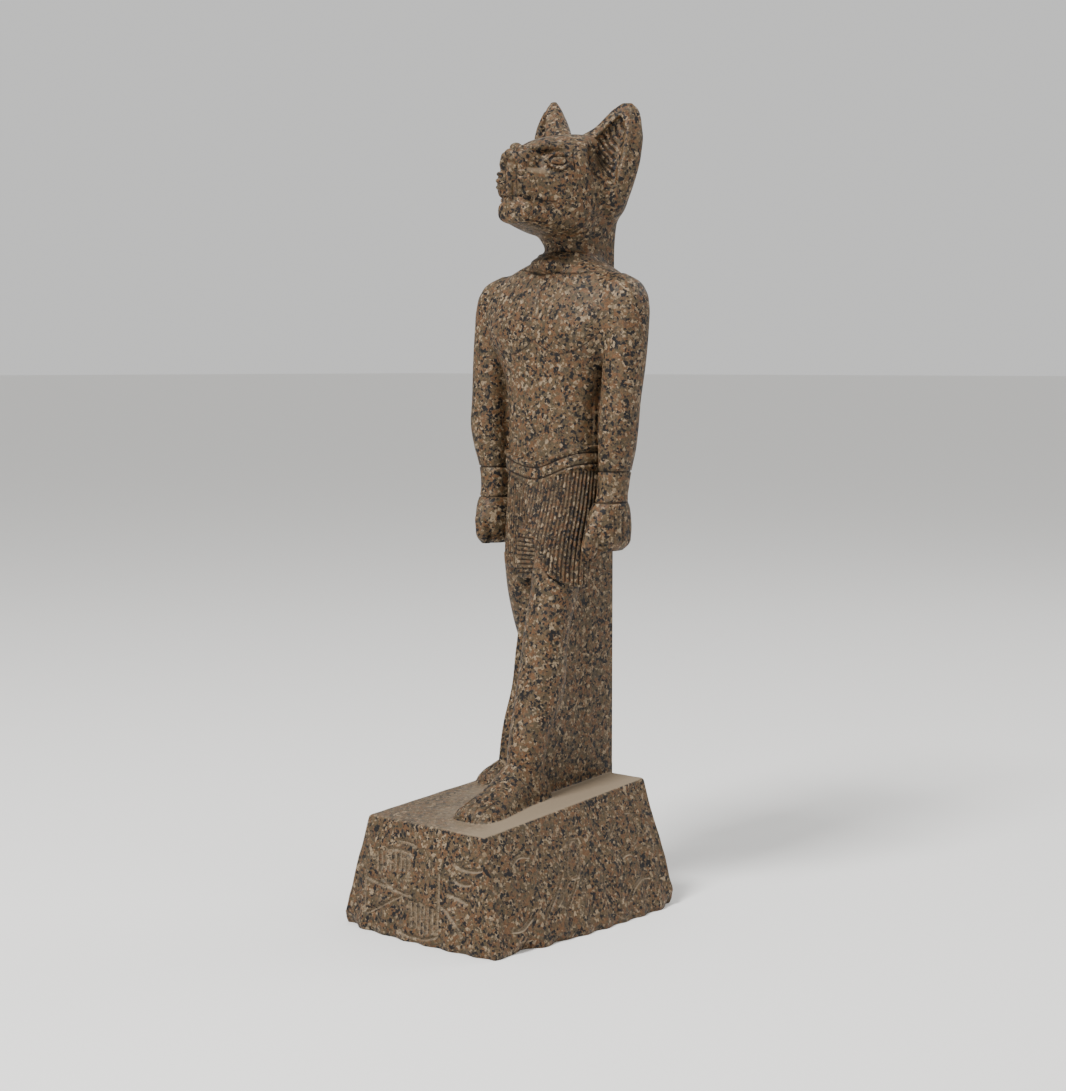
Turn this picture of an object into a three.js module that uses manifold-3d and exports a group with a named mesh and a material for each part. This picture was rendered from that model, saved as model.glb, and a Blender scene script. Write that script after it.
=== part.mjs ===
// Granite statuette of a striding cat-headed figure, carved with its base and back pillar from one
// block. Millimetres, +Z up. The figure faces -Y and its left side is +X. The origin is the middle
// of the base's underside.
import * as THREE from "three";
import { LoftGeometry } from "three/addons/geometries/LoftGeometry.js";
import { mergeVertices } from "three/addons/utils/BufferGeometryUtils.js";
import Module from "manifold-3d";

const wasm = await Module();
wasm.setup();

// Driving sizes
const BASE_FOOT = { halfX: 50.5, halfY: 67.8 };
const BASE_HEAD = { halfX: 36.8, halfY: 60, z: 59.05 };
const BASE_SLOPE = 0.082;
const BACK_Y = 61.3;
const PILLAR_HALF_X = 13.8;
const PILLAR_TOP = 332;
const BELT_HEIGHT = 9.3;
const BELT_FRONT_Z = 213.5;
const BELT_RISE = 8;
const PLEATS = 34;
const PLEAT_DEPTH = 0.8;
const STROKE_WIDTH = 2.4;
const STROKE_DEPTH = 1.3;

const topOfBase = (y) => BASE_HEAD.z + BASE_SLOPE * y;

// Solids and lofts

function solid(shape) {
  const geometry = new THREE.BufferGeometry();
  geometry.setAttribute("position", shape.attributes.position);
  geometry.setIndex(shape.index);
  const merged = mergeVertices(geometry, 1e-4);
  const mesh = new wasm.Mesh({
    numProp: 3,
    vertProperties: new Float32Array(merged.attributes.position.array),
    triVerts: new Uint32Array(merged.index.array),
  });
  return new wasm.Manifold(mesh);
}

const CLOSED = { closed: true, capStart: true, capEnd: true };

const loft = (sections) => solid(new LoftGeometry(sections, CLOSED));

const join = (solids) => solids.reduce((all, next) => all.add(next));

const mix = (a, b, t) => a + (b - a) * t;

const clamp01 = (t) => Math.min(1, Math.max(0, t));

const smooth = (t) => clamp01(t) ** 2 * (3 - 2 * clamp01(t));

// A row of stations with extra stations between them on a Catmull-Rom curve
function refine(stations, steps) {
  const rows = [];
  for (let i = 0; i < stations.length - 1; i++) {
    const before = stations[Math.max(i - 1, 0)];
    const after = stations[Math.min(i + 2, stations.length - 1)];
    for (let k = 0; k < steps; k++) {
      const t = k / steps;
      rows.push(
        stations[i].map((p, j) => {
          const q = stations[i + 1][j];
          const slopeIn = (q - before[j]) / 2;
          const slopeOut = (after[j] - p) / 2;
          const t2 = t * t;
          const t3 = t2 * t;
          const start = (2 * t3 - 3 * t2 + 1) * p + (t3 - 2 * t2 + t) * slopeIn;
          return start + (3 * t2 - 2 * t3) * q + (t3 - t2) * slopeOut;
        }),
      );
    }
  }
  rows.push(stations.at(-1));
  return rows;
}

// The station of an upright limb at about height z
const nearest = (stations, z) =>
  refine(stations, 4).reduce((a, b) => (Math.abs(a[0] - z) < Math.abs(b[0] - z) ? a : b));

// Unit superellipse, counter-clockwise: n = 2 is an ellipse, larger n is squarer
function unitRing(sides, n) {
  return Array.from({ length: sides }, (_, i) => {
    const angle = (2 * Math.PI * i) / sides;
    const c = Math.cos(angle);
    const s = Math.sin(angle);
    const reach = (Math.abs(c) ** n + Math.abs(s) ** n) ** (-1 / n);
    return { u: reach * c, v: reach * s };
  });
}

// A limb that stands up: stations are [z, x, y, half width in x, half depth in y]
function upright(stations, sides, n = 2.2) {
  return loft(
    stations.map(([z, x, y, halfX, halfY]) =>
      unitRing(sides, n).map(({ u, v }) => new THREE.Vector3(x + halfX * u, y + halfY * v, z)),
    ),
  );
}

// A limb that points forward: stations are [y, x, z, half width in x, half height in z], back first
function forward(stations, sides, n) {
  return loft(
    stations.map(([y, x, z, halfX, halfZ]) =>
      unitRing(sides, n).map(({ u, v }) => new THREE.Vector3(x + halfX * u, y, z + halfZ * v)),
    ),
  );
}

// A box between two corners
function block(low, high) {
  const size = high.map((value, i) => value - low[i]);
  const box = new THREE.BoxGeometry(...size);
  box.translate(...low.map((value, i) => value + size[i] / 2));
  return solid(box);
}

const mirrored = (stations) => stations.map(([z, x, ...rest]) => [z, -x, ...rest]);

// Stations of an upright limb moved back and up, most at its lower end
const drawnIn = (stations, back, up) => {
  const [low, high] = [stations[0][0], stations.at(-1)[0]];
  const share = (z) => (high - z) / (high - low);
  return stations.map(([z, x, y, ...rest]) => [z + up * share(z), x, y + back * share(z), ...rest]);
};

// A cutter or a bead of diamond section along a path of points; out(p) is the surface's normal
function bead(path, halfWidth, halfDepth, out) {
  const sections = path.map((p, i) => {
    const ahead = path[Math.min(i + 1, path.length - 1)].clone().sub(path[Math.max(i - 1, 0)]).normalize();
    const normal = out(p).clone();
    normal.addScaledVector(ahead, -normal.dot(ahead)).normalize();
    const side = new THREE.Vector3().crossVectors(normal, ahead);
    const corner = (w, d) =>
      p
        .clone()
        .addScaledVector(side, w * halfWidth)
        .addScaledVector(normal, d * halfDepth);
    return [corner(1, 0), corner(0, -1), corner(-1, 0), corner(0, 1)].reverse();
  });
  return loft(sections);
}

// Base: a battered block with a sloping top, a hewn lower edge and chips

const BELLY = 3.2;
const ROUGHNESS = { rise: 0.7, wave: 0.43 };
const FOOT_ROW = { inset: 1.2, lift: 2, liftPerChip: 0.9 };
const CHIPS = [
  { side: "right", at: -46, half: 11, depth: 4.4 },
  { side: "right", at: -22, half: 8, depth: 2.2 },
  { side: "right", at: 66, half: 8, depth: 4.5 },
  { side: "front", at: -46, half: 9, depth: 3.6 },
  { side: "left", at: 20, half: 14, depth: 3 },
  { side: "back", at: -18, half: 12, depth: 3 },
];

function chipAt(side, along) {
  const here = CHIPS.filter((chip) => chip.side === side);
  return Math.max(0, ...here.map((chip) => chip.depth * (1 - smooth(Math.abs(along - chip.at) / chip.half))));
}

// How far the hewn face stands out of the plain battered plane; t rises from 0 at the foot to 1
function faceBulge(side, along, t) {
  const half = side === "front" || side === "back" ? BASE_FOOT.halfX : BASE_FOOT.halfY;
  const belly = BELLY * Math.cos((Math.PI * along) / (2 * half));
  const rough = ROUGHNESS.rise * Math.sin(along * ROUGHNESS.wave + side.length * 2);
  return (1 - t) * (Math.max(0, belly) + rough);
}

function baseRow(t, underside) {
  const halfX = mix(BASE_FOOT.halfX, BASE_HEAD.halfX, t);
  const halfY = mix(BASE_FOOT.halfY, BASE_HEAD.halfY, t);
  const steps = 8;
  const points = [];
  const walk = (side, from, to) => {
    for (let i = 0; i < steps; i++) {
      const x = mix(from[0], to[0], i / steps);
      const y = mix(from[1], to[1], i / steps);
      const along = side === "front" || side === "back" ? x : y;
      const chip = chipAt(side, along);
      const inset = (underside ? FOOT_ROW.inset + chip : 0) - faceBulge(side, along, t);
      const lift = underside ? 0 : FOOT_ROW.lift + FOOT_ROW.liftPerChip * chip;
      const nx = side === "right" ? 1 : side === "left" ? -1 : 0;
      const ny = side === "back" ? 1 : side === "front" ? -1 : 0;
      const z = t === 1 ? topOfBase(y) : lift;
      points.push(new THREE.Vector3(x - nx * inset, y - ny * inset, z));
    }
  };
  walk("front", [-halfX, -halfY], [halfX, -halfY]);
  walk("right", [halfX, -halfY], [halfX, halfY]);
  walk("back", [halfX, halfY], [-halfX, halfY]);
  walk("left", [-halfX, halfY], [-halfX, -halfY]);
  return points;
}

function base() {
  return loft([baseRow(0, true), baseRow(0, false), baseRow(1, false)]);
}

// Sunk strokes on the base: rows of plain marks, laid out on the front face in x and z and on the
// side face in y and z. Each is [u0, v0, u1, v1, bow], the bow bending it to the left of its run.

const HATCH = { lean: 1.2, climb: 0.35 };

const hatch = (count, u0, u1, v, height) =>
  Array.from({ length: count }, (_, i) => {
    const u = mix(u0, u1, i / (count - 1));
    const low = v + i * HATCH.climb;
    return [u, low + height, u + HATCH.lean, low, 0];
  });

const FRONT_STROKES = [
  ...hatch(4, -29, -9, 29.5, 8.5),
  [-24, 39.6, -5.5, 38.9, 1.5],
  [-36, 28, -33.6, 9.5, 0],
  [-32, 8.6, -10, 20.4, 0],
  [-34, 23, -5.2, 24, 1.6],
  [12.4, 34.3, 15.2, 6, 0],
  ...hatch(3, 2, 10.5, 8, 11),
  [-9, 5, 15, 5.4, -2.6],
  [15.5, 17.2, 37.5, 8, 0],
  [20.7, 40, 38, 39.4, -1.8],
  [18, 31, 34, 29, 0],
];

const SIDE_STROKES = [
  [-14, 29.8, -27.3, 14.6, 0],
  [-10.5, 25.6, -21, 17, 0],
  [-5.4, 24.8, -13, 15, 0],
  [-44.5, 40.3, -34.6, 41.3, 1.4],
  [-53, 10.9, -39, 14.3, -1.5],
  [31, 47, 25.8, 42, 0],
  [32.3, 29.8, 41.4, 29.2, 1.3],
  [48.8, 13.3, 32, 8.3, -2.5],
  [55.6, 9.8, 49.4, 4.6, 0],
];

const FRONT_SLANT = (BASE_FOOT.halfY - BASE_HEAD.halfY) / BASE_HEAD.z;
const SIDE_SLANT = (BASE_FOOT.halfX - BASE_HEAD.halfX) / BASE_HEAD.z;
const RING_SIGN = { y: -4, z: 35.2, halfY: 5, halfZ: 8.6, lean: 0.25 };

function strokePath([u0, v0, u1, v1, bow], pointOn) {
  const segments = bow === 0 ? 1 : 3;
  const length = Math.hypot(u1 - u0, v1 - v0);
  return Array.from({ length: segments + 1 }, (_, i) => {
    const t = i / segments;
    const arch = 4 * bow * t * (1 - t);
    const u = mix(u0, u1, t) - (arch * (v1 - v0)) / length;
    return pointOn(u, mix(v0, v1, t) + (arch * (u1 - u0)) / length);
  });
}

function baseStrokes() {
  const share = (z) => z / BASE_HEAD.z;
  const frontPoint = (x, z) => {
    const plain = -mix(BASE_FOOT.halfY, BASE_HEAD.halfY, share(z));
    return new THREE.Vector3(x, plain - faceBulge("front", x, share(z)), z);
  };
  const sidePoint = (y, z) => {
    const plain = mix(BASE_FOOT.halfX, BASE_HEAD.halfX, share(z));
    return new THREE.Vector3(plain + faceBulge("right", y, share(z)), y, z);
  };
  const frontOut = () => new THREE.Vector3(0, -1, FRONT_SLANT);
  const sideOut = () => new THREE.Vector3(1, 0, SIDE_SLANT);
  const cut = (path, out) => bead(path, STROKE_WIDTH / 2, STROKE_DEPTH, out);
  const oval = unitRing(10, 2).map(({ u, v }) => {
    const rise = RING_SIGN.halfZ * v;
    return sidePoint(RING_SIGN.y + RING_SIGN.halfY * u + RING_SIGN.lean * rise, RING_SIGN.z + rise);
  });
  return join([
    ...FRONT_STROKES.map((row) => cut(strokePath(row, frontPoint), frontOut)),
    ...SIDE_STROKES.map((row) => cut(strokePath(row, sidePoint), sideOut)),
    cut(oval, sideOut),
  ]);
}

// Legs and feet. The left leg strides; the right one stands back against the pillar.

const LEFT_LEG = [
  [55, 12, -2, 8.6, 11],
  [66, 12.2, -3.6, 8.4, 9.4],
  [80, 13, -4, 8.9, 9.2],
  [93, 13, -1, 9.3, 10],
  [104, 13, 4, 10.6, 11.6],
  [120, 13, 7.8, 11, 11.9],
  [131, 13, 9.4, 10.4, 11.2],
  [141, 13, 11.2, 10.4, 11.2],
  [158, 13, 17, 10.8, 12],
  [176, 13, 22, 12, 13],
];

const RIGHT_LEG = [
  [57, -20, 42, 8.6, 11],
  [70, -19.5, 44, 8.4, 9.6],
  [84, -19, 45.5, 9, 9.6],
  [98, -18.5, 46, 10, 10.6],
  [112, -18, 45.5, 10.8, 11.4],
  [127, -18, 43, 10.2, 11],
  [141, -18, 37.8, 10.4, 11],
  [156, -18, 34, 10.8, 11.4],
  [176, -17, 32, 12, 13],
];

// Foot stations are [y, x, rise above the base, half width]
const LEFT_FOOT = [
  [9.4, 12, 3, 5],
  [7.4, 12, 9, 7.4],
  [1, 12, 19, 8.8],
  [-12, 11.8, 20, 10],
  [-22, 12.6, 14, 11.2],
  [-31, 13.4, 10, 12.3],
  [-39, 13.6, 7.6, 12.2],
  [-44, 13.4, 5.6, 10.6],
  [-46.4, 13.2, 3, 8.4],
];

const RIGHT_FOOT = [
  [56, -20, 15, 7.6],
  [46, -20.4, 20, 8.8],
  [36, -21, 18, 9.8],
  [27, -22, 12.5, 10.8],
  [19, -23, 9.2, 11.6],
  [13, -23.4, 7, 11.2],
  [9.5, -23.6, 5, 9.6],
  [7.6, -23.6, 2.6, 7.6],
];

const SUNK = 1.5;
const FOOT_SQUARE = 2.6;
const TOE_GAPS = [-5.8, -1.2, 3.2, 7.2];
const TOE_CUT = { ahead: 4, behind: 7, low: 2.2, high: 8.2, halfWidth: 0.8, halfDepth: 2.6 };

function foot(stations) {
  const rings = stations.map(([y, x, rise, halfX]) => [y, x, topOfBase(y) - SUNK, halfX, rise + SUNK]);
  const [toeY, toeX] = stations.at(-2);
  const gaps = TOE_GAPS.map((gap) => {
    const x = toeX + Math.sign(toeX) * gap;
    const path = [
      new THREE.Vector3(x, toeY - TOE_CUT.ahead, topOfBase(toeY) + TOE_CUT.low),
      new THREE.Vector3(x, toeY + TOE_CUT.behind, topOfBase(toeY) + TOE_CUT.high),
    ];
    return bead(path, TOE_CUT.halfWidth, TOE_CUT.halfDepth, () => new THREE.Vector3(0, 0, 1));
  });
  return forward(rings, 14, FOOT_SQUARE).subtract(join(gaps));
}

// Pillar behind the figure, and the stone left between the legs and beside the arms

const WEB_FRONT = [
  [57, 3],
  [93, 9],
  [110, 15],
  [128, 18],
  [160, 25],
  [178, 30],
];

const WEB_BACK_Y = 58;
const PILLAR = { low: [-PILLAR_HALF_X, 44, 55], high: [PILLAR_HALF_X, BACK_Y, PILLAR_TOP] };
const LOINS = { low: [-25.4, 30.5, 181.5], high: [25.4, 50, 222] };
const FLANKS = { low: [-26.8, 30.5, 220], high: [26.8, 50, 266] };
const ARM_WEBS = { low: [-39, 31.5, 187], high: [39, 42, 300] };

function pillar() {
  const corner = (x, y, z) => new THREE.Vector3(x, y, z);
  const web = loft(
    WEB_FRONT.map(([z, y]) => [
      corner(-PILLAR_HALF_X, y, z),
      corner(PILLAR_HALF_X, y, z),
      corner(PILLAR_HALF_X, WEB_BACK_Y, z),
      corner(-PILLAR_HALF_X, WEB_BACK_Y, z),
    ]),
  );
  return join([web, ...[PILLAR, LOINS, FLANKS, ARM_WEBS].map(({ low, high }) => block(low, high))]);
}

// Kilt: a pleated ring. Its near panel starts at a slanting front edge and swings forward with the
// stride, and the hem climbs along the hips to the stone behind.

const KILT_TOP = 217;
const KILT_ROWS = [
  { up: 0, halfX: 28.6, halfY: 20.4, stride: 11, edgeX: 6 },
  { up: 0.3, halfX: 28.4, halfY: 19.8, stride: 8.5, edgeX: 4 },
  { up: 0.65, halfX: 27.8, halfY: 18.9, stride: 4, edgeX: -2 },
  { up: 1, halfX: 26.8, halfY: 18, stride: 0, edgeX: -8 },
];
const KILT_CENTRE_Y = 35;
const KILT_SQUARE = 2.6;
const HEM = { farFront: 169.5, nearFront: 161.5, hip: 176, behind: 186 };

// The hem's height round the ring: u runs from the right hip to the left one, v from front to back
function hemHeight(u, v) {
  const low = mix(HEM.farFront, HEM.nearFront, smooth((u + 0.02) / 0.2));
  const hip = mix(low, HEM.hip, smooth((v + 0.85) / 0.6));
  return mix(hip, HEM.behind, smooth((v + 0.3) / 0.25));
}

function kilt() {
  const sides = PLEATS * 2;
  const rows = KILT_ROWS.map(({ up, halfX, halfY, stride, edgeX }) =>
    unitRing(sides, KILT_SQUARE).map(({ u, v }, i) => {
      const pleat = i % 2 ? -PLEAT_DEPTH : 0;
      const x = (halfX + pleat) * u;
      const step = stride * smooth((x - edgeX) / 3) * smooth(0.4 - v);
      const y = KILT_CENTRE_Y + (halfY + pleat) * v - step;
      return new THREE.Vector3(x, y, mix(hemHeight(u, v), KILT_TOP, up));
    }),
  );
  return loft(rows);
}

// The tab that hangs between the panels: a flat strip crossed by ribs
const TAB = { left: -7.2, right: 4.4, front: 14.2, back: 34, bottom: 165.1 };
const TAB_RIBS = { count: 9, pitch: 2.3, first: 166.5, half: 0.62, front: 13.4, margin: 1 };

function kiltTab() {
  const ribs = Array.from({ length: TAB_RIBS.count }, (_, i) => {
    const z = TAB_RIBS.first + TAB_RIBS.pitch * i;
    const low = [TAB.left + TAB_RIBS.margin, TAB_RIBS.front, z - TAB_RIBS.half];
    return block(low, [TAB.right - TAB_RIBS.margin, TAB.back - 14, z + TAB_RIBS.half]);
  });
  const top = TAB_RIBS.first + TAB_RIBS.count * TAB_RIBS.pitch;
  return join([block([TAB.left, TAB.front, TAB.bottom], [TAB.right, TAB.back, top]), ...ribs]);
}

// Belt: a band that dips at the front and rises to the sides, with a thin rim along its top.
// Its rows are how far up the band they are and how far they stand out of the waist.
const WAIST = { halfX: 27, halfY: 18.2 };
const BELT_ROWS = [
  { up: 0, grow: 1.2 },
  { up: BELT_HEIGHT - 2.2, grow: 1.2 },
  { up: BELT_HEIGHT - 1.8, grow: 1.9 },
  { up: BELT_HEIGHT, grow: 1.7 },
];

function belt() {
  const rows = BELT_ROWS.map(({ up, grow }) =>
    unitRing(24, KILT_SQUARE).map(({ u, v }) => {
      const rise = BELT_RISE * smooth(Math.abs(u)) * (v < 0 ? 1 : 0.9) + 2 * Math.max(0, v);
      const y = KILT_CENTRE_Y + (WAIST.halfY + grow) * v;
      return new THREE.Vector3((WAIST.halfX + grow) * u, y, BELT_FRONT_Z + rise + up);
    }),
  );
  return loft(rows);
}

// Torso, shoulders and arms. The arm's two short waists are the lines cut round the bracelet.

const TORSO = [
  [206, 0, 35, 22, 13.5],
  [214, 0, 35, 24, 15.5],
  [221, 0, 35, 26.4, 17.4],
  [236, 0, 34.6, 26.2, 17.6],
  [264, 0, 34.8, 30, 18.2],
  [273, 0, 35, 34.5, 19],
  [286, 0, 36, 41.5, 21],
  [296, 0, 37, 43, 20.4],
  [304, 0, 38, 42, 18.4],
  [310, 0, 39, 38, 16.4],
  [314, 0, 40, 34, 15],
  [317, 0, 41, 27.5, 14.5],
  [320, 0, 42, 18.5, 14.2],
  [324, 0, 43, 14, 14],
];

const ARM = [
  [180, 36.8, 30, 5, 7.4],
  [182.5, 36.9, 30, 7.4, 10.4],
  [195, 37, 29.8, 8.6, 12],
  [201, 37.5, 29.9, 7.8, 10.4],
  [203.4, 37.9, 30, 7.1, 8.5],
  [204, 38, 30, 6.1, 7.4],
  [204.8, 38, 30.1, 6.9, 8.2],
  [211, 38.4, 30.8, 6.9, 8.1],
  [217.9, 39.1, 31, 7.2, 8.3],
  [218.6, 39.2, 31, 6.3, 7.5],
  [219.3, 39.3, 31, 7.3, 8.4],
  [229, 41, 30.5, 8.6, 9],
  [239, 42, 30.1, 9.2, 9.6],
  [252, 42.3, 31.4, 8.9, 10],
  [270, 42.7, 33.6, 9.3, 10.9],
  [288, 42.3, 35.5, 10, 11.3],
  [298, 41, 36.3, 11, 11.5],
  [306, 39.3, 36.8, 10.8, 11.2],
  [311.5, 37.8, 37, 8.8, 9.3],
  [315.4, 36.3, 37, 4, 4.5],
];

const THUMB = [
  [177, 35.6, 16, 2, 2],
  [180, 35.8, 16, 3.4, 3.6],
  [187, 36.4, 16.6, 3.6, 3.8],
  [195, 37.4, 19, 3.6, 4],
  [203, 38.4, 23, 3.4, 4],
];

function arm(side) {
  const place = (stations) => (side > 0 ? stations : mirrored(stations));
  const thumb = side > 0 ? THUMB : drawnIn(THUMB, 4, 3);
  return join([upright(place(ARM), 12), upright(place(thumb), 8)]);
}

const FINGER_LINES = { shifts: [-5.5, 0, 5.5], y: 29.5, top: { x: 45.2, z: 196 }, foot: { x: 44.2, z: 182 } };
const FINGER_CUT = { halfWidth: 0.8, halfDepth: 1.3, tilt: -0.4 };

function fingerLines() {
  const lines = [1, -1].flatMap((side) =>
    FINGER_LINES.shifts.map((shift) => {
      const ends = [FINGER_LINES.top, FINGER_LINES.foot];
      const path = ends.map(({ x, z }) => new THREE.Vector3(side * x, FINGER_LINES.y + shift, z));
      const out = () => new THREE.Vector3(side, 0, FINGER_CUT.tilt);
      return bead(path, FINGER_CUT.halfWidth, FINGER_CUT.halfDepth, out);
    }),
  );
  return join(lines);
}

// Lines cut in the chest and belly: the edge of each breast, the breastbone, the navel
const TORSO_SQUARE = 2.6;
const BREAST = { innerX: 1.5, outerX: 34, innerZ: 280, outerZ: 281, sag: 7.5, segments: 5 };
const BREASTBONE_Z = [304, 294, 283];
const NAVEL_Z = [238.5, 233.5];
const CHEST_CUT = 0.9;

function chestLines() {
  const frontOfTorso = (x, z) => {
    const [, , y, halfX, halfY] = nearest(TORSO, z);
    const reach = (1 - Math.abs(x / halfX) ** TORSO_SQUARE) ** (1 / TORSO_SQUARE);
    return new THREE.Vector3(x, y - halfY * reach, z);
  };
  const out = (p) => new THREE.Vector3(p.x * 0.03, -1, 0);
  const breast = (side) =>
    Array.from({ length: BREAST.segments + 1 }, (_, i) => {
      const t = i / BREAST.segments;
      const sag = BREAST.sag * Math.sin(Math.PI * t) ** 0.8;
      const x = side * mix(BREAST.innerX, BREAST.outerX, t);
      return frontOfTorso(x, mix(BREAST.innerZ, BREAST.outerZ, t) - sag);
    });
  const middle = (heights) => heights.map((z) => frontOfTorso(0, z));
  return join([
    bead(breast(1), CHEST_CUT, CHEST_CUT, out),
    bead(breast(-1).reverse(), CHEST_CUT, CHEST_CUT, out),
    bead(middle(BREASTBONE_Z), CHEST_CUT, CHEST_CUT, out),
    bead(middle(NAVEL_Z), 1.6 * CHEST_CUT, 1.8 * CHEST_CUT, out),
  ]);
}

// Neck and head

const NECK = [
  [306, 0, 43, 17, 17],
  [313, 0, 44, 19.5, 17],
  [317.5, 0, 44, 18.6, 17],
  [319, 0, 44, 15, 16.6],
  [328, 0, 44, 14.4, 17],
  [334, 0, 43, 15.6, 18],
];

const THROAT_LUMP = [
  [304, -1, 31, 11, 10],
  [316, -2, 27, 8, 8.6],
  [321, -2, 26.6, 6, 6],
  [324.5, -2, 27.2, 3, 3.6],
];

// The nape and the back of the ears run flush with the pillar and widen upward like a hood
const NAPE = [
  [314, 0, 52, 13.2, 10],
  [329, 0, 52, 13.8, 10],
  [337, 0, 52, 16.6, 10],
  [352, 0, 52.5, 22.4, 9.8],
  [360, 0, 53, 26, 9.4],
  [366, 0, 53, 26.6, 8.6],
  [372, 0, 53, 24, 7],
];

const SKULL = [
  [330, 0, 44, 13.8, 17],
  [337, 0, 41.5, 17.2, 19.6],
  [344, 0, 39.5, 20.6, 21.6],
  [352, 0, 37.5, 23, 23.6],
  [360, 0, 36, 24.8, 24.6],
  [368, 0, 36.6, 25, 24],
  [375, 0, 38.8, 23, 21.4],
  [380.4, 0, 42.4, 17, 16.4],
  [382, 0, 44, 9, 10],
];

const CHEEKS = [
  [34, 0, 349, 22.6, 16],
  [25, 0, 350, 20.6, 15],
  [16, 0, 352, 17.2, 12.4],
  [8, 0, 354.4, 13.2, 9.4],
  [3, 0, 355.6, 10.6, 8],
  [0.4, 0, 355.8, 8.2, 5.6],
];

const BRIDGE = [
  [34, 0, 366, 13, 14.5],
  [22, 0, 365.6, 10.5, 10.6],
  [12, 0, 365, 7.6, 8.4],
  [5, 0, 364.2, 6, 7.6],
  [1, 0, 363.4, 5.4, 7.2],
  [-1.2, 0, 362.4, 4.2, 5.4],
];

const JAW = [
  [40, 0, 341, 19, 9.4],
  [28, 0, 341.4, 18.6, 8.8],
  [16, 0, 342.4, 15.6, 7.4],
  [7, 0, 343, 12, 6.2],
  [2.4, 0, 343.2, 9.8, 5.4],
  [0.8, 0, 343.2, 7.4, 3.8],
];

// Brow stations run outward from the nose: [x, y, z, radius]
const BROW = [
  [4, 12.6, 373, 2.2],
  [9, 14, 374.2, 2.8],
  [14, 18.4, 374, 2.6],
  [18, 24, 372.4, 2],
];

const EYE = { x: 16, y: 15.4, z: 367, half: 6.6, rise: 3.6, swell: 2.2, runX: 0.66, runY: 0.75 };

function bar(points, sides, side) {
  const sections = points.map(([x, y, z, radius], i) => {
    const from = points[Math.max(i - 1, 0)];
    const to = points[Math.min(i + 1, points.length - 1)];
    const ahead = new THREE.Vector3(side * (to[0] - from[0]), to[1] - from[1], to[2] - from[2]).normalize();
    const up = new THREE.Vector3(0, 0, 1).addScaledVector(ahead, -ahead.z).normalize();
    const across = new THREE.Vector3().crossVectors(up, ahead);
    return unitRing(sides, 2).map(({ u, v }) =>
      new THREE.Vector3(side * x, y, z).addScaledVector(across, radius * u).addScaledVector(up, radius * v),
    );
  });
  return loft(sections);
}

// An almond: a pointed bar along the eye's line, swollen in the middle
function eye(side) {
  const along = new THREE.Vector3(side * EYE.runX, EYE.runY, 0);
  const up = new THREE.Vector3(0, 0, 1);
  const across = new THREE.Vector3().crossVectors(up, along);
  const sections = [-1, -0.7, -0.2, 0.3, 0.75, 1].map((t) => {
    const lens = 0.06 + Math.sqrt(Math.max(0, 1 - t * t));
    const middle = new THREE.Vector3(side * EYE.x, EYE.y, EYE.z).addScaledVector(along, t * EYE.half);
    return unitRing(8, 2).map(({ u, v }) =>
      middle.clone().addScaledVector(across, EYE.swell * lens * u).addScaledVector(up, EYE.rise * lens * v),
    );
  });
  return loft(sections);
}

// Lines cut in the muzzle as [x, y, z] points: the mouth, the edge of the nose, and a groove on
// either side of the bar under the nose
const LIP = [
  [0, -0.6, 349.6],
  [6.4, 1, 349.8],
  [10, 4, 348],
  [12.6, 8, 347],
  [16.6, 14, 347],
];
const NOSE_WING = [
  [3.2, -0.6, 366],
  [6, 2.4, 363],
  [8.6, 6, 361.4],
];
const NOSE_GROOVE = [
  [3.4, -0.8, 363],
  [3.4, 0.4, 357],
  [3.4, 0.4, 351],
];
const FACE_CUTS = [
  { path: LIP, halfWidth: 0.8, halfDepth: 1.6, out: (p) => new THREE.Vector3(p.x, -9, 0) },
  { path: NOSE_WING, halfWidth: 0.7, halfDepth: 1.2, out: (p) => new THREE.Vector3(p.x, -6, 2) },
  { path: NOSE_GROOVE, halfWidth: 0.8, halfDepth: 1.3, out: () => new THREE.Vector3(0, -1, 0) },
];

function faceLines() {
  const onSide = (path, side) => path.map(([x, y, z]) => new THREE.Vector3(side * x, y, z));
  const cuts = FACE_CUTS.flatMap(({ path, halfWidth, halfDepth, out }) => [
    bead(onSide(path, 1), halfWidth, halfDepth, out),
    bead(onSide(path, -1).reverse(), halfWidth, halfDepth, out),
  ]);
  return join(cuts);
}

// Ears: thick wedges turned outward, each with a scooped front crossed by slanting ridges.
// Stations are [z, middle x, middle y, half width, half thickness].

const EAR_TURN = Math.atan2(0.53, 0.85);
const EAR = [
  [352, 19.6, 50.4, 9, 9],
  [362, 19, 50.6, 13, 8.6],
  [370, 18, 51, 15.6, 7.8],
  [377, 17.4, 51.4, 16.8, 7.2],
  [382, 18, 52.2, 16.4, 6.8],
  [388, 21, 55.4, 11.6, 6.2],
  [393, 22.6, 56.8, 8.8, 4.6],
  [397, 23.5, 57.6, 6, 3],
  [400, 23.9, 58.2, 2.4, 1.2],
];
const SCOOP = [
  [361, 15.6, 0.6, 3],
  [367, 17, 2.6, 3.2],
  [374, 18.6, 6, 3.4],
  [381, 20.4, 7.4, 3.4],
  [388, 22.6, 5, 3],
  [393.4, 24.4, 1.6, 2.2],
];

// Carved by hand, the left ear ends a little lower than the right one
const LEFT_EAR_LIFT = -2.6;
const RIGHT_EAR_LIFT = 1.6;

const earWidth = new THREE.Vector3(Math.cos(EAR_TURN), Math.sin(EAR_TURN), 0);
const earFront = new THREE.Vector3(Math.sin(EAR_TURN), -Math.cos(EAR_TURN), 0);

const flip = (v) => new THREE.Vector3(-v.x, v.y, v.z);

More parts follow.
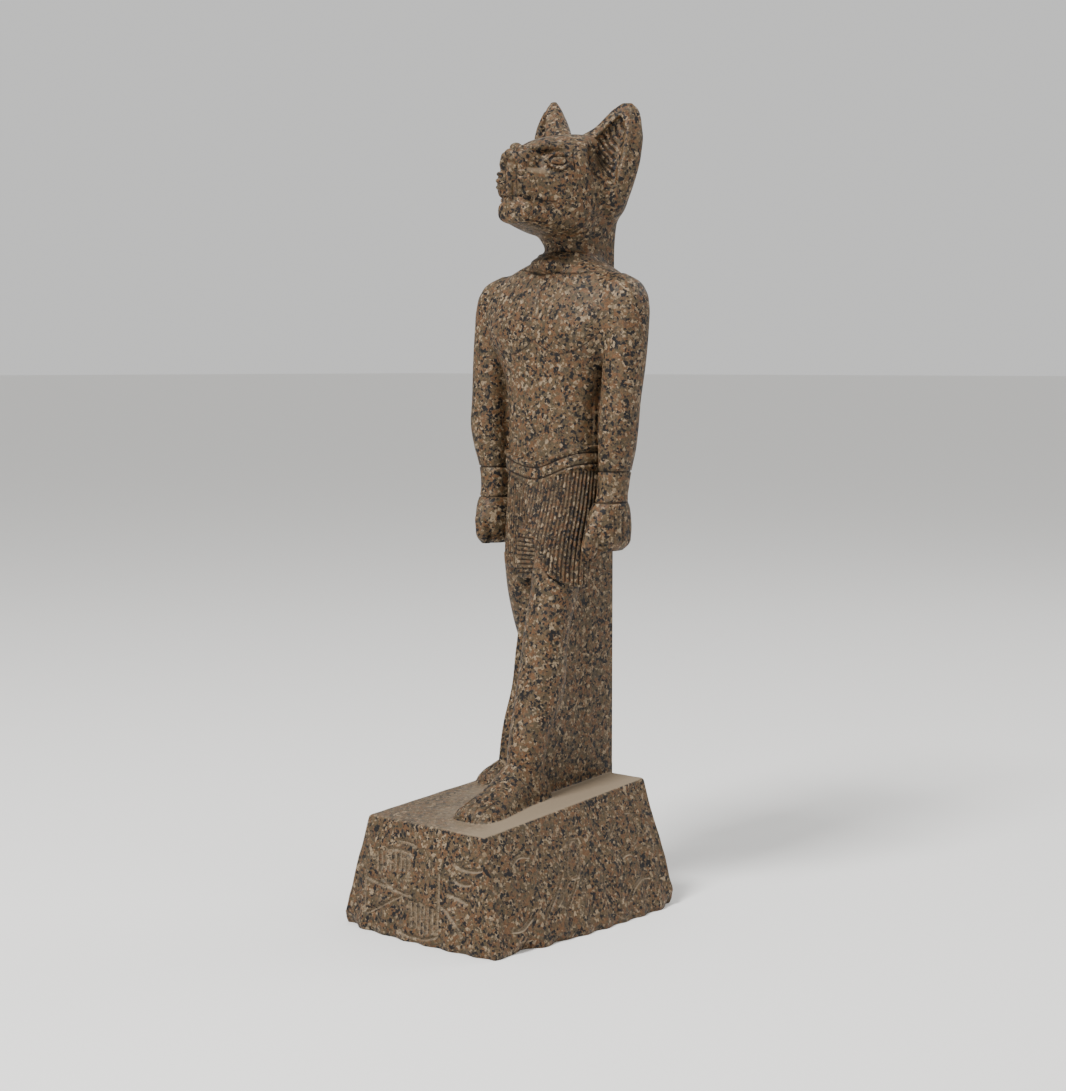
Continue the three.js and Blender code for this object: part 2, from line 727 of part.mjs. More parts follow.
function earLoft(stations, sides, n) {
  return stations.map(([z, x, y, half, thick]) =>
    unitRing(sides, n).map(({ u, v }) =>
      new THREE.Vector3(x, y, z).addScaledVector(earWidth, half * u).addScaledVector(earFront, -thick * v),
    ),
  );
}

function scoopStations() {
  return SCOOP.map(([z, x, half, depth]) => {
    const [, earX, earY, , thick] = nearest(EAR, z);
    const along = (x - earX) / earWidth.x;
    const middle = new THREE.Vector3(earX, earY, z);
    const face = middle.addScaledVector(earWidth, along).addScaledVector(earFront, thick);
    return [z, face.x, face.y, half, depth];
  });
}

const EAR_RIDGES = 5;

function earRidges() {
  const stations = scoopStations();
  return Array.from({ length: EAR_RIDGES }, (_, i) => {
    const t = (i + 0.6) / (EAR_RIDGES + 0.4);
    const at = (q) => {
      const place = clamp01(q) * (stations.length - 1);
      const k = Math.min(stations.length - 2, Math.floor(place));
      return stations[k].map((value, j) => mix(value, stations[k + 1][j], place - k));
    };
    const high = at(mix(0.42, 0.95, t));
    const low = at(mix(0.1, 0.72, t));
    const inset = (row, sideways) =>
      new THREE.Vector3(row[1], row[2], row[0])
        .addScaledVector(earWidth, sideways * row[3] * 0.8)
        .addScaledVector(earFront, -row[4] * 0.74);
    return [inset(high, -1), inset(low, 1)];
  });
}

function ear(side) {
  const lift = side > 0 ? LEFT_EAR_LIFT : RIGHT_EAR_LIFT;
  const raise = (p) => {
    const share = (p.z - EAR[0][0]) / (EAR.at(-1)[0] - EAR[0][0]);
    return new THREE.Vector3(p.x, p.y, p.z + lift * share);
  };
  const turn = (section) => (side > 0 ? section.map(raise) : section.map(raise).map(flip).reverse());
  const body = loft(earLoft(EAR, 12, 2.3).map(turn));
  const scoop = loft(earLoft(scoopStations(), 8, 2).map(turn));
  const ridges = earRidges().map((path) => {
    const raised = path.map(raise);
    const placed = side > 0 ? raised : raised.map(flip);
    const out = side > 0 ? earFront : flip(earFront);
    return bead(placed, 0.75, 1, () => out);
  });
  return join([body.subtract(scoop), ...ridges]);
}

function head() {
  const skull = upright(SKULL, 20, 2.5);
  const face = [forward(CHEEKS, 14, 2.5), forward(BRIDGE, 10, 2.3), forward(JAW, 12, 2.6)];
  const features = [1, -1].flatMap((side) => [bar(BROW, 8, side), eye(side), ear(side)]);
  const nape = upright(NAPE, 16, 4);
  return join([skull, nape, ...face, ...features]).subtract(faceLines());
}

function statuette() {
  const torso = upright(TORSO, 24, TORSO_SQUARE).subtract(chestLines());
  const body = join([
    base().subtract(baseStrokes()),
    pillar(),
    upright(LEFT_LEG, 16),
    upright(RIGHT_LEG, 14),
    foot(LEFT_FOOT),
    foot(RIGHT_FOOT),
    kilt(),
    kiltTab(),
    belt(),
    torso,
    arm(1),
    arm(-1),
    upright(NECK, 16, 2.4),
    upright(THROAT_LUMP, 10),
    head(),
  ]).subtract(fingerLines());
  const behind = block([-60, BACK_Y, BASE_HEAD.z + 12], [60, BACK_Y + 30, 380]);
  const shells = body.subtract(behind).decompose();
  return join(shells.filter((shell) => shell.volume() > 0));
}

function meshOf(name, form, material) {
  const out = form.getMesh();
  const geometry = new THREE.BufferGeometry();
  geometry.setAttribute("position", new THREE.BufferAttribute(out.vertProperties, 3));
  geometry.setIndex(new THREE.BufferAttribute(out.triVerts, 1));
  const mesh = new THREE.Mesh(geometry, material);
  mesh.name = name;
  return mesh;
}

const granite = new THREE.MeshStandardMaterial({ color: 0x9c8163, roughness: 0.72, metalness: 0 });

// Moves a mesh sideways so that the middle of its box stands over the origin
function centre(mesh) {
  mesh.geometry.computeBoundingBox();
  const middle = mesh.geometry.boundingBox.getCenter(new THREE.Vector3());
  mesh.position.set(-middle.x, -middle.y, 0);
  return mesh;
}

const group = new THREE.Group();
group.add(centre(meshOf("statuette", statuette(), granite)));
export default group;
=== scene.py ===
# Granite statuette of a striding cat-headed figure: carved form, chisel lines, stone and dust
import math

import bmesh
import bpy
import numpy as np
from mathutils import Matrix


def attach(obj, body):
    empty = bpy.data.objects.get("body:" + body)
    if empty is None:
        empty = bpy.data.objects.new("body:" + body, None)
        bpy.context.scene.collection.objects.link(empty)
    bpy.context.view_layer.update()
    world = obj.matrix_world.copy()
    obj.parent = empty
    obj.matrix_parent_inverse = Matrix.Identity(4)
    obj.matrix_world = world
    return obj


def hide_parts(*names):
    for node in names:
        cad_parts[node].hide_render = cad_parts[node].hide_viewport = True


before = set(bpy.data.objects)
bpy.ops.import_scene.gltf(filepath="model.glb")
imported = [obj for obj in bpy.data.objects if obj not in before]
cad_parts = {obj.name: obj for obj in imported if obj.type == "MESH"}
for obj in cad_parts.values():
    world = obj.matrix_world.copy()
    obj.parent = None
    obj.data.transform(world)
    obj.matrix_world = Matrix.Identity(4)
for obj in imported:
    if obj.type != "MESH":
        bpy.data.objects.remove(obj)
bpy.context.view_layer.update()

import openvdb
from mathutils import Vector

# Sizes are in millimetres until the mesh is made. +Z is up, the figure faces -Y, its left is +X.
MM = 0.001
GRID_LOW = (-60, -78, -3)
GRID_HIGH = (60, 78, 408)
GRID_STEP = 0.45
# Distances are kept true to this many steps from the surface
BAND = 4
FAR = 60.0
ADD_MARGIN = 3.0
CUT_MARGIN = 1.0
TINY = 1e-6
NEAR_MIDDLE = 1e-3
TRIANGLE_LIMIT = 196000
# Moves the carving onto the part's place in the frame
SHIFT = (0.32, -0.37, 0.0)

BASE_FOOT = {"half_x": 50.5, "half_y": 67.8}
BASE_HEAD = {"half_x": 36.8, "half_y": 60.0, "z": 59.05}
BASE_SLOPE = 0.082
BACK_Y = 61.3
BEHIND = [(-80, 80), (BACK_Y, 90), (70, 410)]
PILLAR_HALF_X = 13.8
PILLAR_TOP = 342.0
BELT_HEIGHT = 10.4
BELT_FRONT_Z = 212.2
BELT_RISE = 8.0
FAR_BELT_SHARE = 0.62
PLEATS = {"around": 160.0, "pitch": 2.05, "half x": 28, "half y": 19.5, "end y": 31}


def top_of_base(y):
    return BASE_HEAD["z"] + BASE_SLOPE * y


def mix(a, b, t):
    return a + (b - a) * t


def smooth(t):
    t = np.clip(t, 0.0, 1.0)
    return t * t * (3 - 2 * t)


def smooth_max(a, b, blend):
    if blend == 0:
        return np.maximum(a, b)
    share = np.clip(0.5 - 0.5 * (a - b) / blend, 0.0, 1.0)
    return mix(a, b, share) + blend * share * (1 - share)


def along(stations, where):
    """The stations' values at each place in where, on a smooth curve through them."""
    table = np.array(stations, float)
    if table[0, 0] > table[-1, 0]:
        table = table[::-1]
    key = table[:, 0]
    slope = np.gradient(table[:, 1:], key, axis=0)
    where = np.clip(np.asarray(where, float), key[0], key[-1])
    i = np.clip(np.searchsorted(key, where) - 1, 0, len(key) - 2)
    gap = (key[i + 1] - key[i])[..., None]
    t = (where - key[i])[..., None] / gap
    start = (2 * t**3 - 3 * t**2 + 1) * table[i, 1:] + (t**3 - 2 * t**2 + t) * gap * slope[i]
    end = (3 * t**2 - 2 * t**3) * table[i + 1, 1:] + (t**3 - t**2) * gap * slope[i + 1]
    return start + end


class Stone:
    """Signed distances on a regular grid: negative inside the stone."""

    def __init__(self, low, high, step):
        self.low = np.array(low, float)
        self.step = step
        counts = [int(math.ceil((b - a) / step)) + 1 for a, b in zip(low, high)]
        self.axes = [a + step * np.arange(n) for a, n in zip(low, counts)]
        self.values = np.full(counts, FAR, np.float32)

    def window(self, box, margin):
        cuts = []
        for axis, (a, b) in zip(self.axes, box):
            start = max(0, int(np.searchsorted(axis, a - margin)))
            stop = min(len(axis), int(np.searchsorted(axis, b + margin)) + 1)
            cuts.append(slice(start, stop))
        x, y, z = (axis[cut] for axis, cut in zip(self.axes, cuts))
        return tuple(cuts), x[:, None, None], y[None, :, None], z[None, None, :]

    def add(self, form, blend=1.0):
        box, distance = form
        cuts, x, y, z = self.window(box, blend + ADD_MARGIN)
        new = distance(x, y, z)
        old = self.values[cuts]
        share = np.clip(0.5 + 0.5 * (old - new) / blend, 0.0, 1.0)
        self.values[cuts] = mix(old, new, share) - blend * share * (1 - share)

    def cut(self, form, blend=0.6):
        box, distance = form
        cuts, x, y, z = self.window(box, blend + CUT_MARGIN)
        new = -distance(x, y, z)
        old = self.values[cuts]
        share = np.clip(0.5 - 0.5 * (old - new) / blend, 0.0, 1.0)
        self.values[cuts] = mix(old, new, share) + blend * share * (1 - share)

    def mesh(self):
        grid = openvdb.FloatGrid(FAR)
        limit = BAND * self.step
        grid.copyFromArray(np.clip(self.values, -limit, limit))
        points, _, quads = grid.convertToPolygons(isovalue=0.0)
        return self.low + np.asarray(points) * self.step, np.asarray(quads)


def ring_distance(dx, dy, half_x, half_y, square):
    """Distance from a superellipse, measured on the line from its middle."""
    reach = (np.abs(dx / half_x) ** square + np.abs(dy / half_y) ** square) ** (1 / square)
    radius = np.hypot(dx, dy) / np.maximum(reach, TINY)
    return (reach - 1) * np.where(reach < NEAR_MIDDLE, min(np.min(half_x), np.min(half_y)), radius)


def limb(axis, stations, square, rim):
    """A limb along Y (axis 1) or Z (axis 2), closed at both ends."""
    table = np.array(stations, float)
    other = 3 - axis
    box = [None, None, None]
    for k, middle, half in ((0, 1, 3), (other, 2, 4)):
        reach = table[:, half].max()
        box[k] = (table[:, middle].min() - reach, table[:, middle].max() + reach)
    box[axis] = (table[:, 0].min(), table[:, 0].max())
    low, high = box[axis]
    shape = [1, 1, 1]
    shape[axis] = -1

    def distance(*place):
        run = place[axis]
        at = along(stations, run.ravel())
        mid_x, mid, half_x, half = (at[:, k].reshape(shape) for k in range(4))
        side = ring_distance(place[0] - mid_x, place[other] - mid, half_x, half, square)
        return smooth_max(side, np.maximum(low - run, run - high), rim)

    return box, distance


def upright(stations, square=2.2, rim=0.0):
    """A limb that stands up: stations are (z, x, y, half width, half depth)."""
    return limb(2, stations, square, rim)


def forward(stations, square=2.4, rim=0.0):
    """A limb that points forward: stations are (y, x, z, half width, half height)."""
    return limb(1, stations, square, rim)


def strand(points):
    """A round bar through (x, y, z, radius) points."""
    table = np.array(points, float)
    reach = table[:, 3].max()
    box = [(table[:, k].min() - reach, table[:, k].max() + reach) for k in range(3)]

    def distance(x, y, z):
        best = FAR
        for (ax, ay, az, ar), (bx, by, bz, br) in zip(table[:-1], table[1:]):
            run = (bx - ax, by - ay, bz - az)
            length = sum(value * value for value in run)
            t = ((x - ax) * run[0] + (y - ay) * run[1] + (z - az) * run[2]) / max(length, TINY)
            t = np.clip(t, 0.0, 1.0)
            gap = (x - ax - t * run[0]) ** 2 + (y - ay - t * run[1]) ** 2 + (z - az - t * run[2]) ** 2
            best = np.minimum(best, np.sqrt(gap) - mix(ar, br, t))
        return best

    return box, distance


def block(low, high, round_off=0.8):
    """A box with rounded edges."""
    middle = [(a + b) / 2 for a, b in zip(low, high)]
    half = [(b - a) / 2 - round_off for a, b in zip(low, high)]

    def distance(x, y, z):
        gaps = [np.abs(p - m) - h for p, m, h in zip((x, y, z), middle, half)]
        outside = sum(np.maximum(gap, 0.0) ** 2 for gap in gaps)
        inside = np.minimum(np.maximum(np.maximum(gaps[0], gaps[1]), gaps[2]), 0.0)
        return np.sqrt(outside) + inside - round_off

    return list(zip(low, high)), distance


def egg(middle, radii, turn=0.0):
    """An ellipsoid turned about Z by turn degrees."""
    reach = max(radii)
    box = [(m - reach, m + reach) for m in middle]
    c = math.cos(math.radians(turn))
    s = math.sin(math.radians(turn))

    def distance(x, y, z):
        dx = x - middle[0]
        dy = y - middle[1]
        dz = z - middle[2]
        u = (c * dx + s * dy) / radii[0]
        v = (c * dy - s * dx) / radii[1]
        w = dz / radii[2]
        level = np.sqrt(u * u + v * v + w * w)
        slope = np.sqrt((u / radii[0]) ** 2 + (v / radii[1]) ** 2 + (w / radii[2]) ** 2)
        return level * (level - 1) / np.maximum(slope, NEAR_MIDDLE)

    return box, distance


def mirrored(stations):
    """An upright limb's stations on the other side of the body."""
    return [(z, -x, *rest) for z, x, *rest in stations]


def on_side(point, side):
    """A point or (x, y, z, radius) on the body's left for side 1 and its right for side -1."""
    x, *rest = point
    return (side * x, *rest)


def all_on_side(points, side):
    return [on_side(point, side) for point in points]


def drawn_in(stations, back, up):
    """An upright limb's stations moved back and up, most at the lower end."""
    low = stations[0][0]
    high = stations[-1][0]
    moved = []
    for z, x, y, *rest in stations:
        share = (high - z) / (high - low)
        moved.append((z + up * share, x, y + back * share, *rest))
    return moved


# Base: its faces swell and wave most at the foot, and the foot's edge is broken away
BELLY = 3.2
WAVE = 0.7
WAVE_RATE = 0.43
BROKEN_EDGE = {"height": 2.5, "more per chip": 1.1, "depth": 1.0}
BASE_ROUND = 1.6
COARSE_LUMPS = {"depth": 0.35, "size": 4.0}
FINE_LUMPS = {"depth": 0.1, "size": 1.9}
# The lumps grow weaker with height, from top to least
LUMPS_FADE = {"top": 1.2, "height": 70, "least": 0.3}
CHIPS = [
    {"side": "right", "at": -46, "half": 11, "depth": 4.4},
    {"side": "right", "at": -22, "half": 8, "depth": 2.2},
    {"side": "right", "at": 66, "half": 8, "depth": 4.5},
    {"side": "front", "at": -46, "half": 9, "depth": 3.6},
    {"side": "left", "at": 20, "half": 14, "depth": 3.0},
    {"side": "back", "at": -18, "half": 12, "depth": 3.0},
]


def chip_at(side, along_side):
    depth = np.zeros_like(along_side)
    for chip in CHIPS:
        if chip["side"] == side:
            share = 1 - smooth(np.abs(along_side - chip["at"]) / chip["half"])
            depth = np.maximum(depth, chip["depth"] * share)
    return depth


def face_bulge(side, along_side, t):
    half = BASE_FOOT["half_x"] if side in ("front", "back") else BASE_FOOT["half_y"]
    belly = np.maximum(0.0, BELLY * np.cos(math.pi * along_side / (2 * half)))
    wave = WAVE * np.sin(along_side * WAVE_RATE + len(side) * 2)
    return (1 - t) * (belly + wave)


def lump_noise(x, y, z, size):
    """Uneven stone of about the given size, from -1 to 1."""
    tilted = np.sin(z / size * 1.1 + 0.9 * np.sin(x / size * 1.3))
    a = np.sin(x / size + 1.7 * np.sin(y / size * 0.7 + 0.4)) * tilted
    b = np.sin(y / size * 1.2 + 1.3 * np.sin(z / size * 0.8 + 2.1)) * np.cos(x / size * 0.9 + 0.7)
    return 0.5 * (a + b)


def base_form():
    box = [(-56, 56), (-73, 73), (0, 66)]

    def distance(x, y, z):
        t = np.clip(z / BASE_HEAD["z"], 0.0, 1.1)
        half_x = mix(BASE_FOOT["half_x"], BASE_HEAD["half_x"], t)
        half_y = mix(BASE_FOOT["half_y"], BASE_HEAD["half_y"], t)
        lean = math.cos(math.atan((BASE_FOOT["half_x"] - BASE_HEAD["half_x"]) / BASE_HEAD["z"]))
        faces = []
        for side, gap, run in (
            ("right", x - half_x, y),
            ("left", -x - half_x, y),
            ("back", y - half_y, x),
            ("front", -y - half_y, x),
        ):
            chip = chip_at(side, run + 0 * z)
            broken = BROKEN_EDGE["height"] + BROKEN_EDGE["more per chip"] * chip
            low = np.clip(1 - z / broken, 0.0, 1.0)
            bulge = face_bulge(side, run, np.minimum(t, 1.0))
            faces.append((gap - bulge + low * (BROKEN_EDGE["depth"] + chip)) * lean)
        top = z - BASE_HEAD["z"] - BASE_SLOPE * y
        form = faces[0]
        for face in faces[1:] + [top]:
            form = smooth_max(form, face, BASE_ROUND)
        coarse = COARSE_LUMPS["depth"] * lump_noise(x, y, z, COARSE_LUMPS["size"])
        fine = FINE_LUMPS["depth"] * lump_noise(y, z, x, FINE_LUMPS["size"])
        fade = np.clip(LUMPS_FADE["top"] - z / LUMPS_FADE["height"], LUMPS_FADE["least"], 1.0)
        form = form + (coarse + fine) * fade
        return np.maximum(form, -z)

    return box, distance


# Legs and feet
LEFT_LEG = [
    (55, 12, -2, 8.6, 11),
    (66, 12.2, -3.6, 8.4, 9.4),
    (80, 13, -4, 8.9, 9.2),
    (93, 13, -1, 9.3, 10),
    (104, 13, 4, 10.6, 11.6),
    (120, 13, 7.8, 11, 11.9),
    (131, 13, 9.4, 10.4, 11.2),
    (141, 13, 11.2, 10.4, 11.2),
    (158, 13, 16.4, 10.8, 12),
    (168, 13.4, 18, 11.2, 12.2),
    (178, 14, 20, 11.6, 12.4),
    (190, 14, 23, 11.6, 12.4),
]
RIGHT_LEG = [
    (57, -20, 42, 8.6, 11),
    (70, -19.5, 44, 8.4, 9.6),
    (84, -19, 45.5, 9, 9.6),
    (98, -18.5, 46, 10, 10.6),
    (112, -18, 45.5, 10.8, 11.4),
    (127, -18, 43, 10.2, 11),
    (141, -18, 37.8, 10.4, 11),
    (156, -18, 34, 10.8, 11.4),
    (176, -17, 32, 12, 13),
]
# Foot stations are (y, x, rise above the base, half width)
LEFT_FOOT = [
    (9.4, 12, 3, 5),
    (7.4, 12, 9, 7.4),
    (1, 12, 19, 8.8),
    (-12, 11.8, 20, 10),
    (-22, 12.6, 14, 11.2),
    (-31, 13.4, 10, 12.3),
    (-39, 13.6, 7.6, 12.2),
    (-44, 13.4, 5.6, 10.6),
    (-46.4, 13.2, 3, 8.4),
]
RIGHT_FOOT = [
    (56, -20, 15, 7.6),
    (46, -20.4, 20, 8.8),
    (36, -21, 18, 9.8),
    (27, -22, 12.5, 10.8),
    (19, -23, 9.2, 11.6),
    (13, -23.4, 7, 11.2),
    (9.5, -23.6, 5, 9.6),
    (7.6, -23.6, 2.6, 7.6),
]
TOE_GAPS = (-5.8, -1.2, 3.2, 7.2)
TOE_LINE = {"points": 8, "before": 3.2, "step": 1.8, "reach": 12, "height": 0.92}
SUNK = 1.5
FOOT_SQUARE = 2.5
# The stone left between the legs: its front edge as (z, y), its back and its ends
WEB_FRONT = [(57, 3), (93, 9), (110, 15), (128, 18), (160, 25), (178, 30)]
WEB_BACK_Y = 58
WEB_FOOT = 56
WEB_TOP = 178


def foot_form(stations):
    """A foot whose sole is sunk a little in the base."""
    placed = []
    for y, x, rise, half in stations:
        placed.append((y, x, top_of_base(y) - SUNK, half, rise + SUNK))
    return forward(placed, FOOT_SQUARE)


def web_form():
    box = [(-PILLAR_HALF_X, PILLAR_HALF_X), (0, WEB_BACK_Y), (WEB_FOOT, WEB_TOP)]

    def distance(x, y, z):
        front = along(WEB_FRONT, z[0, 0])[:, 0][None, None, :]
        sides = np.abs(x) - PILLAR_HALF_X
        depth = np.maximum(front - y, y - WEB_BACK_Y)
        ends = np.maximum(WEB_FOOT - z, z - WEB_TOP)
        return np.maximum(np.maximum(sides, depth), ends)

    return box, distance


# Kilt: an inner wrap that swells forward over the near thigh, and a thin near panel laid over it
KILT_TOP = 217
KILT_CENTRE_Y = 35
KILT_SQUARE = 2.6
# Kilt rows are (height, half width, half depth, stride)
KILT_ROWS = [
    (160, 28.6, 20.4, 11.2),
    (170, 28.6, 20.4, 11),
    (184, 28.4, 19.9, 8.6),
    (200, 27.8, 18.9, 4),
    (KILT_TOP, 26.8, 18, 0),
]
# The near panel's front edge and rounded corner, as (height, x)
PANEL_EDGE = [
    (160.5, 31),
    (162.5, 28),
    (164.5, 24.5),
    (167.5, 19.5),
    (171, 15.8),
    (175.5, 12.6),
    (181, 9.8),
    (186, 7.2),
    (191, 4.2),
    (196, 0.6),
    (201.5, -3.8),
    (207, -7.2),
    (KILT_TOP, -11),
]
PANEL_THICKNESS = 1.5
PANEL_ROUND = 0.7
PANEL_GROWS = 0.6
KILT_BOX_Y = (1, 57)
KILT_BOX_Z = (158, 236)
# Hem heights, with the inner wrap's own where the near panel hides it
HEM = {"far front": 169.5, "near front": 160.5, "hip": 176, "behind": 186, "hidden": 180}
# The hem climbs in two steps, each given by where it starts and how far it runs, front -1 to back 1
HEM_DEPTH = 20.0
HIP_CLIMB = {"start": -0.85, "run": 0.6}
BACK_CLIMB = {"start": -0.3, "run": 0.25}
# The stride fades out over this distance before and behind the kilt's middle
STRIDE_FADE = 10
BELT_HALF_X = 27.0
BELT_HALF_Y = 18.2
BELT_RISE_END_X = 28.5
BELT_BACK_RUN = 9.5
BELT_BACK_RISE = 2
CLOTH_UNDER_BELT = 4
RIM_HEIGHT = 1.8


def wrap_swell(x):
    """The inner wrap's share of the stride: none at the tab, all of it over the near thigh."""
    return smooth((x - 1) / 9)


def panel_swell(x):
    """The near panel's share of the stride."""
    return smooth((x + 12) / 14)


def hidden_share(x):
    """From 0 at the tab to 1 where the near panel hides the inner wrap's hem."""
    return smooth((x - 1) / 4)


def hem_height(x, y, front):
    v = np.clip((y - KILT_CENTRE_Y) / HEM_DEPTH, -1, 1)
    hip = mix(front, HEM["hip"], smooth((v - HIP_CLIMB["start"]) / HIP_CLIMB["run"]))
    return mix(hip, HEM["behind"], smooth((v - BACK_CLIMB["start"]) / BACK_CLIMB["run"])) + 0 * x


def kilt_ring(x, y, z, shrink, swell):
    at = along(KILT_ROWS, z[0, 0])
    half_x, half_y, stride = (at[:, k][None, None, :] for k in range(3))
    in_front = smooth((KILT_CENTRE_Y + STRIDE_FADE - y) / (2 * STRIDE_FADE))
    step = stride * swell * in_front
    return ring_distance(x, y + step - KILT_CENTRE_Y, half_x - shrink, half_y - shrink, KILT_SQUARE)


def belt_rise(x, y):
    share = np.where(x < 0, FAR_BELT_SHARE, 1.0)
    sides = BELT_RISE * share * smooth(np.abs(x) / BELT_RISE_END_X)
    return sides + np.clip((y - KILT_CENTRE_Y) / BELT_BACK_RUN, 0, BELT_BACK_RISE)


def above_belt_foot(x, y, z):
    return z - BELT_FRONT_Z - belt_rise(x, y) - CLOTH_UNDER_BELT


def kilt_form():
    box = [(-30, 30), KILT_BOX_Y, KILT_BOX_Z]

    def distance(x, y, z):
        shrink = 0.5 * PANEL_THICKNESS * smooth((x + 4) / 6)
        side = kilt_ring(x, y, z, shrink, wrap_swell(x))
        hem = hem_height(x, y, mix(HEM["far front"], HEM["hidden"], hidden_share(x)))
        return np.maximum(np.maximum(side, hem - z), above_belt_foot(x, y, z))

    return box, distance


def panel_form():
    box = [(-14, 31), KILT_BOX_Y, KILT_BOX_Z]

    def distance(x, y, z):
        side = kilt_ring(x, y, z, -PANEL_GROWS, panel_swell(x))
        edge = along(PANEL_EDGE, z[0, 0])[:, 0][None, None, :]
        slant = np.gradient(edge[0, 0]) / np.gradient(z[0, 0])
        left = (edge - x) / np.sqrt(1 + slant**2)[None, None, :]
        hem = hem_height(x, y, HEM["near front"])
        form = smooth_max(side, np.maximum(left, hem - z), PANEL_ROUND)
        return np.maximum(form, above_belt_foot(x, y, z))

    return box, distance


def belt_form(low, high, grow):
    box = [(-31, 31), (13, 57), (BELT_FRONT_Z, BELT_FRONT_Z + 22)]

    def distance(x, y, z):
        up = z - BELT_FRONT_Z - belt_rise(x, y)
        side = ring_distance(x, y - KILT_CENTRE_Y, BELT_HALF_X + grow, BELT_HALF_Y + grow, KILT_SQUARE)
        return np.maximum(side, np.maximum(low - up, up - high))

    return box, distance


# The belt's tab hangs in front of a block that fills the cloth behind it
TAB = {"left": -9.2, "right": 4.4, "front": 13.4, "bottom": 165.1, "top": 187}
TAB_BLOCK = ((TAB["left"], TAB["front"], TAB["bottom"]), (TAB["right"], 30, TAB["top"]))
TAB_FILL = ((TAB["left"], TAB["front"] + 1.6, TAB["bottom"] + 2), (11, 30, 190))
TAB_ROUND = 0.7
FIRST_RIB_Z = 167.2
RIB_PITCH = 2.25

# Torso and arms
BREAST = {"middle": (18, 30.6, 286), "radii": (19, 14.4, 15.5)}
HIP_BLOCK = ((-26.8, 30.5, 181.5), (26.8, 50, 266))
ARM_WEB = ((-39, 33.6, 187), (39, 42, 300))
FIST_END = {"middle": (39.2, 23.6, 191.5), "radii": (4.0, 3.6, 3.6)}
ARMPIT = [(37.0, 18.6, 293, 2.6), (35.4, 18.2, 281, 3.0)]
# How far the right thumb lies back from and above the left one's place
FAR_THUMB = {"back": 4, "up": 3}
ARM_SQUARE = 2.3
TORSO = [
    (206, 0, 35, 22, 13.5),
    (214, 0, 35, 24, 15.5),
    (221, 0, 35, 26.4, 17.4),
    (236, 0, 34.6, 26.2, 17.6),
    (252, 0, 34.6, 26.8, 17.6),
    (264, 0, 34.8, 30, 17.8),
    (273, 0, 35, 34.5, 18.4),
    (279, 0, 35.4, 38.5, 19.6),
    (286, 0, 36, 41.5, 21),
    (296, 0, 37, 43, 20.4),
    (304, 0, 38, 42, 18.4),
    (310, 0, 39, 37, 16.2),
    (314, 0, 40, 32, 15),
    (317, 0, 41, 26, 14.5),
    (320, 0, 42, 18.5, 14.2),
    (324, 0, 43, 14, 14),
]
ARM = [
    (180, 36.8, 30, 5, 7.4),
    (182.5, 36.9, 30, 7.4, 10.4),
    (188, 37, 29.8, 8.6, 12),
    (195, 37, 29.8, 8.6, 12),
    (201, 37.5, 29.9, 7.8, 10.4),
    (204, 38, 30, 7.1, 8.5),
    (211, 38.4, 30.8, 6.9, 8.1),
    (218.6, 39.2, 31, 7.3, 8.4),
    (229, 41, 30.5, 8.6, 9),
    (239, 42, 30.1, 9.2, 9.6),
    (252, 42.3, 31.4, 8.9, 10),
    (270, 42.7, 33.6, 9.3, 10.9),
    (288, 42.3, 35.5, 10, 11.3),
    (298, 41, 36.3, 11, 11.5),
    (305, 39.2, 36.8, 10.6, 11.2),
    (310.4, 36.8, 37.2, 8.2, 9),
    (313.8, 34.4, 37.6, 3.8, 4.4),
]
THUMB = [
    (177, 35.6, 16, 2, 2),
    (180, 35.8, 16, 3.4, 3.6),
    (187, 36.4, 16.6, 3.6, 3.8),
    (193, 37.4, 18.8, 3.5, 3.9),
    (197.5, 38.2, 21.6, 2.6, 3),
]

# Neck and head
NECK = [
    (306, 0, 43, 17, 17),
    (313, 0, 44, 18.8, 17),
    (317, 0, 44.4, 17.2, 16.4),
    (321, 0, 45, 14.4, 15.2),
    (326, 0, 45.4, 12.6, 14.2),
    (334, 0, 43.6, 14.4, 16.8),
]
# The collar's thick front, standing out under the chin
COLLAR = [
    (311, 0, 36, 12, 9),
    (314, 0, 32.4, 11, 9.2),
    (317, 0, 28.8, 9.6, 8.6),
    (320.4, 0, 28.2, 8.4, 7.8),
    (322.8, 0, 30, 6, 5.8),
]
NAPE = [
    (314, 0, 52, 13.2, 10),
    (329, 0, 52, 14.6, 10),
    (337, 0, 52, 17.4, 10),
    (352, 0, 52.5, 22.4, 9.8),
    (360, 0, 53, 26, 9.4),
    (366, 0, 53, 26.6, 8.6),
    (372, 0, 53, 24, 7),
]
SKULL = [
    (330, 0, 45.4, 12.8, 14.4),
    (337, 0, 42, 16.8, 18.8),
    (344, 0, 39.5, 20.6, 21.6),
    (352, 0, 37.5, 23, 23.6),
    (360, 0, 36, 24.8, 24.6),
    (368, 0, 36.6, 25, 24),
    (373, 0, 38, 24, 22.4),
    (377, 0, 40, 21.4, 19.6),
    (380, 0, 42.2, 16.6, 15.6),
    (381.7, 0, 43.6, 10.8, 10),
    (382.3, 0, 44, 5, 5),
]
MUZZLE = [
    (34, 0, 349, 22.6, 16),
    (25, 0, 350, 20.6, 15),
    (16, 0, 352, 17.2, 12.4),
    (8, 0, 354.4, 13.4, 9.4),
    (3, 0, 355.8, 10.8, 8.2),
    (-0.4, 0, 356, 9.6, 7.6),
]
BRIDGE = [
    (34, 0, 366, 13, 14.5),
    (22, 0, 365.6, 10.5, 10.6),
    (12, 0, 365, 7.6, 8.4),
    (5, 0, 364.2, 6, 7.6),
    (1, 0, 363.4, 5.4, 7.2),
    (-1.4, 0, 362.8, 4.8, 6.6),
]
